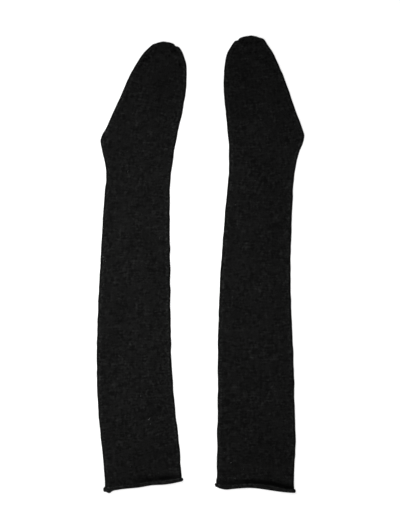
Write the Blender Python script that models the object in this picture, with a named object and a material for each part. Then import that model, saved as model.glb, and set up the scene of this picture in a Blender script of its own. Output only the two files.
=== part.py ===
"""A pair of long knitted socks, laid flat on their sides: toes towards +Y, cuffs towards -Y.

Each sock is one knitted tube pressed nearly flat, with an outer and an inner wall that follow the
same sections, a closed rounded toe, a soft heel that points outwards and an open cuff whose edge has
curled outwards into a roll. The two socks lie a little differently, so each has its own short table
of sections. The tables and sizes are in millimetres. The model is in metres, +Z up, and rests on
Z = 0 with the middle of its box at the origin.
"""

import math
from typing import NamedTuple

import bmesh
import bpy
import numpy as np

# Metres in a millimetre
MM = 0.001

# The cloth and how flat it lies
WALL = 1.4
EDGE_HEIGHT = 4.2
EDGE_REACH = 16.0

# The curled edge of the cuff: its length along the leg, its thickness and how it lifts the lower layer
ROLL_LENGTH = 7.5
ROLL_THICKNESS = 4.6
ROLL_TURNS_DEG = (-55, -20, 15, 50, 85, 120, 155, 188)
GROOVE_AT = 7.9
GROOVE_DEPTH = 0.2
WALL_STARTS_AT = 9.8
CUFF_LIFT = 2.0
LIFT_REACH = 34.0
CUFF_LINE_REACH = 30.0

# The toe: how round its closed end is, and how much of it the turned-in seam fills
NOSE_RADIUS = 1.5
NOSE_TURNS_DEG = (35, 65, 84)
SEAM_DEPTH = 26.0

# How finely the walls are cut
RING_STEP = 21.0
LEAST_STEPS = 2
LEAST_GAP = 2.6
FLAT_POINTS = 13
ARC_POINTS = 4

COLLECTION_NAME = "pair_of_long_socks"


class Section(NamedTuple):
    """A cut across the tube: its middle, its flat width, its lean from straight across and its height."""

    y: float
    x: float
    width: float
    lean_deg: float
    height: float


class CuffPoint(NamedTuple):
    """How far the cuff's edge reaches past a straight line, at a share of the half width."""

    across: float
    reach: float


class Fold(NamedTuple):
    """A soft swell of the upper layer: its middle, half length, half width, turn and rise."""

    y: float
    x: float
    length: float
    width: float
    turn_deg: float
    rise: float


class Sock(NamedTuple):
    """One sock's own tables."""

    name: str
    colour: tuple
    sections: tuple
    cuff: tuple
    folds: tuple


LEFT = Sock(
    name="sock_left",
    colour=(0.0105, 0.0105, 0.0105),
    sections=(
        Section(-400.5, -102.6, 140.2, -7.5, 3.6),
        Section(-372.0, -104.1, 139.0, -5.8, 3.7),
        Section(-325.0, -108.2, 139.5, -5.2, 3.5),
        Section(-260.0, -115.0, 138.6, -4.2, 3.4),
        Section(-160.0, -119.5, 134.6, -1.2, 3.4),
        Section(-60.0, -118.8, 129.9, 0.9, 3.4),
        Section(40.0, -116.3, 123.6, 1.8, 3.5),
        Section(128.0, -113.4, 117.3, 3.5, 3.8),
        Section(164.0, -111.7, 117.9, 6.0, 4.0),
        Section(189.0, -112.8, 126.8, 8.0, 4.2),
        Section(206.0, -114.0, 132.6, 9.0, 4.4),
        Section(216.0, -113.0, 133.7, 9.5, 4.4),
        Section(229.0, -108.4, 130.3, 10.0, 4.3),
        Section(248.0, -101.8, 124.7, 11.0, 4.1),
        Section(286.0, -88.8, 115.8, 12.5, 3.9),
        Section(325.0, -77.4, 105.2, 12.0, 3.8),
        Section(350.0, -70.7, 94.1, 9.5, 3.7),
        Section(368.8, -66.6, 80.9, 6.5, 3.6),
        Section(381.9, -64.8, 66.7, 4.0, 3.5),
        Section(390.4, -64.4, 53.4, 2.0, 3.5),
        Section(396.5, -65.8, 35.6, 0.5, 3.5),
        Section(399.0, -66.2, 20.0, 0.0, 3.5),
    ),
    cuff=(
        CuffPoint(-1.0, 1.5),
        CuffPoint(-0.5, 0.0),
        CuffPoint(-0.1, 0.8),
        CuffPoint(0.2, 0.0),
        CuffPoint(0.55, 1.6),
        CuffPoint(1.0, -0.1),
    ),
    folds=(
        Fold(y=208, x=-156, length=30, width=17, turn_deg=70, rise=1.2),
        Fold(y=158, x=-84, length=46, width=13, turn_deg=-12, rise=0.9),
        Fold(y=112, x=-128, length=44, width=12, turn_deg=24, rise=0.7),
        Fold(y=-30, x=-152, length=84, width=12, turn_deg=-4, rise=0.7),
        Fold(y=-196, x=-92, length=70, width=16, turn_deg=10, rise=0.8),
        Fold(y=-346, x=-120, length=26, width=38, turn_deg=-6, rise=0.9),
    ),
)

RIGHT = Sock(
    name="sock_right",
    colour=(0.0085, 0.0085, 0.0085),
    sections=(
        Section(-407.3, 99.3, 140.4, 3.6, 3.6),
        Section(-375.0, 99.3, 139.6, 1.4, 3.7),
        Section(-345.0, 100.3, 141.4, 0.5, 3.5),
        Section(-265.0, 100.7, 139.3, -0.3, 3.4),
        Section(-165.0, 99.4, 136.2, -0.8, 3.4),
        Section(-65.0, 98.5, 129.8, 0.6, 3.4),
        Section(35.0, 101.6, 123.2, 2.6, 3.5),
        Section(124.0, 107.0, 119.2, 3.4, 3.8),
        Section(166.0, 110.5, 118.9, 2.2, 4.0),
        Section(190.0, 113.1, 123.9, 0.6, 4.2),
        Section(207.0, 116.3, 130.3, -1.6, 4.4),
        Section(223.0, 119.2, 136.6, -4.2, 4.5),
        Section(235.0, 117.2, 135.3, -5.8, 4.4),
        Section(265.0, 110.0, 126.6, -7.6, 4.1),
        Section(304.0, 101.1, 117.5, -7.4, 3.9),
        Section(338.0, 94.8, 106.4, -5.4, 3.8),
        Section(363.0, 90.9, 94.4, -3.6, 3.7),
        Section(383.0, 88.9, 79.3, -2.2, 3.6),
        Section(396.0, 88.8, 62.5, -1.2, 3.5),
        Section(403.0, 89.6, 52.6, -0.6, 3.5),
        Section(407.6, 90.8, 36.0, 0.0, 3.5),
        Section(409.8, 91.4, 20.0, 0.0, 3.5),
    ),
    cuff=(
        CuffPoint(-1.0, 0.5),
        CuffPoint(-0.7, 1.0),
        CuffPoint(-0.2, -3.2),
        CuffPoint(0.25, -2.3),
        CuffPoint(0.5, -0.8),
        CuffPoint(0.9, 0.4),
        CuffPoint(1.0, 0.3),
    ),
    folds=(
        Fold(y=214, x=160, length=32, width=18, turn_deg=-66, rise=1.3),
        Fold(y=170, x=78, length=40, width=12, turn_deg=14, rise=0.8),
        Fold(y=106, x=124, length=48, width=13, turn_deg=-22, rise=0.8),
        Fold(y=-8, x=62, length=76, width=13, turn_deg=6, rise=0.7),
        Fold(y=-150, x=128, length=82, width=14, turn_deg=-8, rise=0.7),
        Fold(y=-352, x=78, length=24, width=42, turn_deg=5, rise=1.0),
    ),
)


def smooth_step(share):
    """0 to 1 with level ends, for shares cut to that range."""
    share = np.clip(share, 0.0, 1.0)
    return share * share * (3.0 - 2.0 * share)


def curve_through(knots, rows, places):
    """A natural cubic curve through rows of values at the knots, read at the places."""
    knots = np.asarray(knots, float)
    rows = np.asarray(rows, float)
    places = np.atleast_1d(np.asarray(places, float))
    gaps = np.diff(knots)
    slopes = np.diff(rows, axis=0) / gaps[:, None]
    bends = np.eye(len(knots))
    loads = np.zeros_like(rows)
    for i in range(1, len(knots) - 1):
        bends[i, i - 1 : i + 2] = gaps[i - 1], 2.0 * (gaps[i - 1] + gaps[i]), gaps[i]
        loads[i] = 6.0 * (slopes[i] - slopes[i - 1])
    curvature = np.linalg.solve(bends, loads)
    first = np.clip(np.searchsorted(knots, places) - 1, 0, len(gaps) - 1)
    gap = gaps[first][:, None]
    before = (places - knots[first])[:, None]
    after = gap - before
    bowed = (curvature[first] * after**3 + curvature[first + 1] * before**3) / (6.0 * gap)
    from_first = (rows[first] / gap - curvature[first] * gap / 6.0) * after
    from_second = (rows[first + 1] / gap - curvature[first + 1] * gap / 6.0) * before
    return bowed + from_first + from_second


class Tube:
    """The flattened tube of one sock, which gives the ring of points at any place along it."""

    def __init__(self, sock):
        self.sock = sock
        self.rows = np.array(sock.sections)
        middle_steps = np.linalg.norm(np.diff(self.rows[:, :2], axis=0), axis=1)
        width_steps = np.diff(self.rows[:, 2]) / 2.0
        self.knots = np.concatenate([[0.0], np.cumsum(np.hypot(middle_steps, width_steps))])
        self.length = self.knots[-1]

    def places(self, start, end):
        """Places along the tube from start to end, each gap between sections cut into even steps."""
        found = [start]
        for low, high in zip(self.knots[:-1], self.knots[1:]):
            steps = max(LEAST_STEPS, math.ceil((high - low) / RING_STEP))
            found += list(np.linspace(low, high, steps + 1)[1:])
        inside = [place for place in found if start + LEAST_GAP < place < end - LEAST_GAP]
        return [start] + inside + [end]

    def swell(self, x, y):
        """How far the folds lift the upper layer at each point."""
        rise = np.zeros_like(x)
        for fold in self.sock.folds:
            turn = math.radians(fold.turn_deg)
            along = (y - fold.y) * math.cos(turn) + (x - fold.x) * math.sin(turn)
            across = (x - fold.x) * math.cos(turn) - (y - fold.y) * math.sin(turn)
            rise += fold.rise * np.exp(-((along / fold.length) ** 2) - (across / fold.width) ** 2)
        return rise

    def edge_reach(self, across, place):
        """How far the cuff's own uneven line pushes each point along the leg."""
        points = self.sock.cuff
        reach = curve_through(
            [point.across for point in points],
            [[point.reach] for point in points],
            np.clip(across, -1.0, 1.0),
        )[:, 0]
        return reach * (1.0 - smooth_step(place / CUFF_LINE_REACH))

    def ring(self, place, outward, shrink=0.0, flatten=1.0):
        """Points round the tube at a place, moved outward from the cloth's outer face.

        shrink takes that much off the half width, and flatten scales the heights about half height.
        """
        y, x, width, lean_deg, height = curve_through(self.knots, self.rows, place)[0]
        radius = EDGE_HEIGHT / 2.0
        reach = width / 2.0 - radius - shrink
        even = np.cos(np.linspace(math.pi, 0.0, FLAT_POINTS)) * reach
        arc = np.linspace(-math.pi / 2.0, math.pi / 2.0, ARC_POINTS + 2)[1:-1]
        to_edge = smooth_step(1.0 - (reach - np.abs(even)) / EDGE_REACH)
        top = height + (EDGE_HEIGHT - height) * to_edge + outward
        side = (radius + outward) * np.cos(arc)
        side_height = radius + (radius + outward) * np.sin(arc)
        across = np.concatenate([even, reach + side, even[::-1], -reach - side[::-1]])
        level = np.concatenate([np.full(FLAT_POINTS, -outward), side_height, top[::-1], side_height[::-1]])
        arc_share = np.maximum(np.sin(arc), 0.0)
        upper = np.concatenate([np.zeros(FLAT_POINTS), arc_share, np.ones(FLAT_POINTS), arc_share[::-1]])
        lean = math.radians(lean_deg)
        backward = self.edge_reach(across / (width / 2.0), place)
        world_x = x + across * math.cos(lean) - backward * math.sin(lean)
        world_y = y - across * math.sin(lean) - backward * math.cos(lean)
        level = radius + (level - radius) * flatten
        level = level + upper * self.swell(world_x, world_y)
        level = level + CUFF_LIFT * (1.0 - smooth_step(place / LIFT_REACH))
        return np.column_stack([world_x, world_y, np.maximum(level, 0.0)])

    def rings(self):
        """Every ring of the closed wall: the inner wall from the toe, the cuff's roll, then the outer wall."""
        half_length = ROLL_LENGTH / 2.0
        half_thickness = ROLL_THICKNESS / 2.0
        inner = self.places(half_length, self.length - SEAM_DEPTH)
        found = [self.ring(place, -WALL) for place in reversed(inner)]
        for turn_deg in ROLL_TURNS_DEG:
            turn = math.radians(turn_deg)
            place = half_length * (1.0 - math.cos(turn))
            outward = half_thickness - WALL + half_thickness * math.sin(turn)
            found.append(self.ring(place, outward))
        found.append(self.ring(GROOVE_AT, -GROOVE_DEPTH))
        found += [self.ring(place, 0.0) for place in self.places(WALL_STARTS_AT, self.length)]
        for turn_deg in NOSE_TURNS_DEG:
            turn = math.radians(turn_deg)
            shrink = NOSE_RADIUS * (1.0 - math.cos(turn))
            last = self.ring(self.length, 0.0, shrink, math.cos(turn))
            last[:, 1] += NOSE_RADIUS * math.sin(turn)
            found.append(last)
        return found


def loft(name, rings, collection, colour):
    """One closed mesh object through the rings, with a flat end at the first and the last."""
    model = bmesh.new()
    loops = [[model.verts.new(point) for point in ring] for ring in rings]
    count = len(loops[0])
    for lower, upper in zip(loops[:-1], loops[1:]):
        for i in range(count):
            model.faces.new((lower[i], lower[(i + 1) % count], upper[(i + 1) % count], upper[i]))
    model.faces.new(loops[0])
    model.faces.new(loops[-1])
    bmesh.ops.recalc_face_normals(model, faces=model.faces)
    mesh = bpy.data.meshes.new(name)
    model.to_mesh(mesh)
    model.free()
    mesh.shade_smooth()
    mesh.materials.append(knit(name + "_knit", colour))
    sock = bpy.data.objects.new(name, mesh)
    collection.objects.link(sock)
    return sock


def knit(name, colour):
    """A matt, near-black jersey."""
    material = bpy.data.materials.new(name)
    material.use_nodes = True
    shader = material.node_tree.nodes["Principled BSDF"]
    shader.inputs["Base Color"].default_value = (*colour, 1.0)
    shader.inputs["Roughness"].default_value = 0.95
    shader.inputs["Metallic"].default_value = 0.0
    return material


def main():
    for old in list(bpy.data.objects):
        bpy.data.objects.remove(old)
    collection = bpy.data.collections.new(COLLECTION_NAME)
    bpy.context.scene.collection.children.link(collection)
    socks = (LEFT, RIGHT)
    rings = {sock.name: Tube(sock).rings() for sock in socks}
    points = np.concatenate([ring for found in rings.values() for ring in found])
    middle = (points.min(axis=0) + points.max(axis=0)) / 2.0
    shift = np.array([middle[0], middle[1], 0.0])
    for sock in socks:
        loft(sock.name, [(ring - shift) * MM for ring in rings[sock.name]], collection, sock.colour)


main()
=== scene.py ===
"""A pair of long black knitted socks laid flat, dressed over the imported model.

Each sock is one knitted tube pressed flat: a knit face outside, a purl face inside, a cuff edge that
has curled outwards into a roll, a soft heel and a linked toe. The shell repeats the sizes of the
solids, and adds the roll's real spiral, creases, the toe's decreases, nap, pills and lint. The tables
are in millimetres in the maker's own frame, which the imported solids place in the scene.
"""

import logging
import math
from dataclasses import dataclass
from enum import Enum
from typing import ClassVar

import bmesh
import bpy
import numpy as np
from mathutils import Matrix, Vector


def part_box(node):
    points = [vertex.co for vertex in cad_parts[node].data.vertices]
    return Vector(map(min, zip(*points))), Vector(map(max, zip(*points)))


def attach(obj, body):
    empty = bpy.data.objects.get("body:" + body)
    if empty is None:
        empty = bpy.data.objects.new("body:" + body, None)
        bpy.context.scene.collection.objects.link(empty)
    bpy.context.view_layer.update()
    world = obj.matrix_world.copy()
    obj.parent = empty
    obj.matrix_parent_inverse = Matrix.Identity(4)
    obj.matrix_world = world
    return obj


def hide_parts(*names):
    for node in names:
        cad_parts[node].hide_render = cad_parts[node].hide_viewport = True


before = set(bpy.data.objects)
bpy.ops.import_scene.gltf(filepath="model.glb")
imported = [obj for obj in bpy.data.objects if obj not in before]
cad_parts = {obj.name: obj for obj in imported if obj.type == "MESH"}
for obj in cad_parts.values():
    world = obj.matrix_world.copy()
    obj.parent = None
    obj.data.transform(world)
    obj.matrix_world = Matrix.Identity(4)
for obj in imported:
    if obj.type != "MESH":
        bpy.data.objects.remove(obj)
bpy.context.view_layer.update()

log = logging.getLogger("long_socks")

MM = 0.001
ROOT_BODY = "root"

# The cloth and how flat it lies, as in the solids
WALL = 1.4
EDGE_HEIGHT = 4.2
EDGE_RADIUS = EDGE_HEIGHT / 2.0
EDGE_REACH = 16.0
CUFF_LIFT = 2.0
LIFT_REACH = 34.0
CUFF_LINE_REACH = 30.0
SEAM_DEPTH = 26.0
NOSE_RADIUS = 1.5
SOLID_NOSE_TURN_DEG = 84.0
LEAST_GAP = 0.12

# The knit: stitches round the leg, height of a course and the half width where the foot's wales start
STITCHES_ROUND = 184
COURSE = 1.02
ANKLE_HALF_WIDTH = 58.5
ANKLE_BLEND = 40.0

ROUNDING = 1e-9
QUARTER_TURN = math.pi / 2.0
FULL_TURN = 2.0 * math.pi
FULL_TURN_DEG = 360.0

Socket = bpy.types.NodeSocket
Triple = tuple[float, float, float]


class KnitFace(Enum):
    """The side of plain knitting that shows. The value is the share of the purl side."""

    KNIT = 0.0
    PURL = 1.0


@dataclass(frozen=True)
class Section:
    """A cut across the tube: its middle, its flat width, its lean from straight across and its height."""

    y: float
    x: float
    width: float
    lean_deg: float
    height: float


@dataclass(frozen=True)
class CuffPoint:
    """How far the cuff's edge reaches past a straight line, at a share of the half width."""

    across: float
    reach: float


@dataclass(frozen=True)
class RollPoint:
    """The curled edge on the upper cloth, at a share of the half width.

    length is the roll's size along the leg, thickness its size upwards, and groove the depth of the
    valley that the cloth makes behind it, which also sets how much painted shade lies in that valley.
    """

    across: float
    length: float
    thickness: float
    groove: float


@dataclass(frozen=True)
class Crease:
    """A soft ridge, or a trough where rise is below 0: its middle, half length, half width and turn.

    bow is how far its ends bend away from a straight line.
    """

    y: float
    x: float
    length: float
    width: float
    turn_deg: float
    rise: float
    bow: float = 0.0

    def height_at(self, x: np.ndarray, y: np.ndarray) -> np.ndarray:
        """How far the crease lifts the cloth at each point.

        Args:
            x: Places across, in millimetres.
            y: Places along, in millimetres.

        Returns:
            The lift at each place, in millimetres.
        """
        turn = math.radians(self.turn_deg)
        along = ((y - self.y) * math.cos(turn) + (x - self.x) * math.sin(turn)) / self.length
        across = (x - self.x) * math.cos(turn) - (y - self.y) * math.sin(turn)
        across = (across - self.bow * along**2) / self.width
        return self.rise * np.exp(-(along**2) - across**2)


@dataclass(frozen=True)
class Patch:
    """A small round part of the cloth: its middle and radius."""

    y: float
    x: float
    radius: float

    def nearness(self, x: np.ndarray, y: np.ndarray) -> np.ndarray:
        """1 at its middle, falling to nothing about two radii away."""
        return np.exp(-((x - self.x) ** 2 + (y - self.y) ** 2) / self.radius**2)


@dataclass(frozen=True)
class Nick(Patch):
    """A small dent in the outline, which pulls the cloth near it by (pull_x, pull_y)."""

    pull_x: float
    pull_y: float


class Pit(Patch):
    """A small hollow of the toe's shaping, darkened with painted shade."""


@dataclass(frozen=True)
class Fleck:
    """One pale fibre of lint that shows: its middle, length, thickness, turn and bow."""

    y: float
    x: float
    length: float
    thickness: float
    turn_deg: float
    bow: float


@dataclass(frozen=True)
class Spot:
    """A point of a line drawn on the upper cloth."""

    y: float
    x: float


@dataclass(frozen=True)
class SockTables:
    """One sock's own measures."""

    name: str
    heel_side: float
    sections: tuple[Section, ...]
    cuff: tuple[CuffPoint, ...]
    roll: tuple[RollPoint, ...]
    folds: tuple[Crease, ...]
    creases: tuple[Crease, ...]
    nicks: tuple[Nick, ...]
    pits: tuple[Pit, ...]
    linking: tuple[Spot, ...]
    lint: tuple[Fleck, ...]
    seed: int


# The sections' middles and widths were measured on the photograph by a script, at places and leans chosen
# by hand. The pits were read off an enlarged photograph and put in millimetres.
LEFT = SockTables(
    name="sock_left",
    heel_side=-1.0,
    sections=(
        Section(-400.5, -102.6, 140.2, -7.5, 3.6),
        Section(-372.0, -104.1, 139.0, -5.8, 3.7),
        Section(-325.0, -108.2, 139.5, -5.2, 3.5),
        Section(-260.0, -115.0, 138.6, -4.2, 3.4),
        Section(-160.0, -119.5, 134.6, -1.2, 3.4),
        Section(-60.0, -118.8, 129.9, 0.9, 3.4),
        Section(40.0, -116.3, 123.6, 1.8, 3.5),
        Section(128.0, -113.4, 117.3, 3.5, 3.8),
        Section(164.0, -111.7, 117.9, 6.0, 4.0),
        Section(189.0, -112.8, 126.8, 8.0, 4.2),
        Section(206.0, -114.0, 132.6, 9.0, 4.4),
        Section(216.0, -113.0, 133.7, 9.5, 4.4),
        Section(229.0, -108.4, 130.3, 10.0, 4.3),
        Section(248.0, -101.8, 124.7, 11.0, 4.1),
        Section(286.0, -88.8, 115.8, 12.5, 3.9),
        Section(325.0, -77.4, 105.2, 12.0, 3.8),
        Section(350.0, -70.7, 94.1, 9.5, 3.7),
        Section(368.8, -66.6, 80.9, 6.5, 3.6),
        Section(381.9, -64.8, 66.7, 4.0, 3.5),
        Section(390.4, -64.4, 53.4, 2.0, 3.5),
        Section(396.5, -65.8, 35.6, 0.5, 3.5),
        Section(399.0, -66.2, 20.0, 0.0, 3.5),
    ),
    cuff=(
        CuffPoint(-1.0, 1.5),
        CuffPoint(-0.5, 0.0),
        CuffPoint(-0.1, 0.8),
        CuffPoint(0.2, 0.0),
        CuffPoint(0.55, 1.6),
        CuffPoint(1.0, -0.1),
    ),
    roll=(
        RollPoint(-1.0, 6.8, 4.6, 0.1),
        RollPoint(-0.72, 6.4, 3.9, 0.1),
        RollPoint(-0.3, 6.6, 4.0, 0.3),
        RollPoint(-0.05, 7.7, 4.4, 0.9),
        RollPoint(0.3, 7.6, 4.7, 1.2),
        RollPoint(0.75, 8.2, 4.8, 1.3),
        RollPoint(1.0, 7.6, 4.8, 0.3),
    ),
    folds=(
        Crease(y=208, x=-156, length=30, width=17, turn_deg=70, rise=1.2),
        Crease(y=158, x=-84, length=46, width=13, turn_deg=-12, rise=0.9),
        Crease(y=112, x=-128, length=44, width=12, turn_deg=24, rise=0.7),
        Crease(y=-30, x=-152, length=84, width=12, turn_deg=-4, rise=0.7),
        Crease(y=-196, x=-92, length=70, width=16, turn_deg=10, rise=0.8),
        Crease(y=-346, x=-120, length=26, width=38, turn_deg=-6, rise=0.9),
    ),
    creases=(
        Crease(y=215, x=-149, length=27, width=2.0, turn_deg=97, rise=-0.34, bow=3.0),
        Crease(y=163, x=-125, length=13, width=3.2, turn_deg=56, rise=0.55, bow=-1.5),
        Crease(y=172, x=-108, length=10, width=2.6, turn_deg=-38, rise=0.4),
        Crease(y=178, x=-82, length=22, width=4.5, turn_deg=74, rise=-0.4, bow=3.0),
        Crease(y=150, x=-88, length=26, width=5.5, turn_deg=62, rise=0.45, bow=-4.0),
        Crease(y=128, x=-96, length=30, width=6.0, turn_deg=50, rise=-0.35, bow=5.0),
        Crease(y=236, x=-88, length=24, width=5.0, turn_deg=-58, rise=0.35, bow=3.0),
        Crease(y=262, x=-120, length=28, width=6.0, turn_deg=32, rise=0.4, bow=-3.0),
        Crease(y=306, x=-72, length=32, width=6.5, turn_deg=10, rise=-0.3, bow=4.0),
        Crease(y=330, x=-98, length=24, width=5.0, turn_deg=24, rise=0.3),
        Crease(y=70, x=-142, length=46, width=7.0, turn_deg=14, rise=0.42, bow=5.0),
        Crease(y=28, x=-92, length=52, width=8.0, turn_deg=-10, rise=-0.32, bow=-5.0),
        Crease(y=-52, x=-112, length=38, width=6.0, turn_deg=-26, rise=0.36, bow=3.0),
        Crease(y=-104, x=-146, length=44, width=8.0, turn_deg=12, rise=-0.3, bow=-4.0),
        Crease(y=-140, x=-84, length=34, width=6.5, turn_deg=30, rise=0.38, bow=4.0),
        Crease(y=-214, x=-134, length=52, width=9.0, turn_deg=-16, rise=0.34, bow=6.0),
        Crease(y=-262, x=-78, length=30, width=6.0, turn_deg=40, rise=-0.36, bow=-3.0),
        Crease(y=-290, x=-122, length=36, width=7.0, turn_deg=-42, rise=0.34, bow=3.0),
        Crease(y=-338, x=-74, length=21, width=3.0, turn_deg=86, rise=-0.34, bow=1.5),
        Crease(y=-349, x=-70, length=24, width=2.6, turn_deg=84, rise=0.3, bow=-1.5),
        Crease(y=-366, x=-128, length=19, width=3.2, turn_deg=94, rise=-0.3, bow=2.0),
        Crease(y=-372, x=-58, length=14, width=3.4, turn_deg=70, rise=0.32),
    ),
    nicks=(
        Nick(y=393.5, x=-43.5, radius=3.4, pull_x=-1.5, pull_y=-1.6),
        Nick(y=397.0, x=-80.0, radius=5.0, pull_x=0.5, pull_y=-0.6),
        Nick(y=-412.5, x=-163.5, radius=4.6, pull_x=1.0, pull_y=-4.7),
        Nick(y=-406.0, x=-171.5, radius=5.5, pull_x=0.0, pull_y=3.0),
        Nick(y=222.5, x=-181.0, radius=3.0, pull_x=-0.7, pull_y=0.3),
    ),
    pits=(
        Pit(y=374.8, x=-97.4, radius=2.0),
        Pit(y=371.3, x=-92.2, radius=2.1),
        Pit(y=370.1, x=-100.3, radius=1.6),
        Pit(y=367.0, x=-96.8, radius=2.2),
        Pit(y=364.0, x=-91.3, radius=1.9),
        Pit(y=365.4, x=-102.4, radius=1.6),
        Pit(y=354.6, x=-110.7, radius=1.9),
        Pit(y=358.4, x=-106.7, radius=1.8),
        Pit(y=349.9, x=-114.1, radius=1.9),
        Pit(y=387.2, x=-48.4, radius=2.2),
        Pit(y=383.8, x=-45.9, radius=2.5),
        Pit(y=381.6, x=-51.1, radius=2.0),
        Pit(y=374.8, x=-55.8, radius=2.0),
        Pit(y=391.9, x=-53.1, radius=2.0),
        Pit(y=358.4, x=-37.3, radius=2.4),
        Pit(y=388.1, x=-79.7, radius=1.9),
    ),
    linking=(
        Spot(389.0, -46.4),
        Spot(384.8, -52.0),
        Spot(382.6, -63.0),
        Spot(383.8, -76.0),
        Spot(387.0, -88.5),
    ),
    lint=(
        Fleck(y=-279.5, x=-91.0, length=5.6, thickness=0.55, turn_deg=62, bow=1.1),
        Fleck(y=-281.0, x=-93.5, length=3.4, thickness=0.4, turn_deg=20, bow=0.6),
        Fleck(y=-288.5, x=-90.0, length=2.6, thickness=0.4, turn_deg=84, bow=0.4),
        Fleck(y=166.0, x=-130.0, length=5.5, thickness=0.3, turn_deg=56, bow=0.8),
        Fleck(y=-238.0, x=-107.0, length=3.0, thickness=0.4, turn_deg=5, bow=0.5),
        Fleck(y=12.5, x=-175.0, length=2.4, thickness=0.35, turn_deg=75, bow=0.3),
        Fleck(y=6.0, x=-174.2, length=2.8, thickness=0.4, turn_deg=110, bow=0.4),
        Fleck(y=4.5, x=-170.5, length=2.2, thickness=0.35, turn_deg=15, bow=0.3),
    ),
    seed=11,
)

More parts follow.
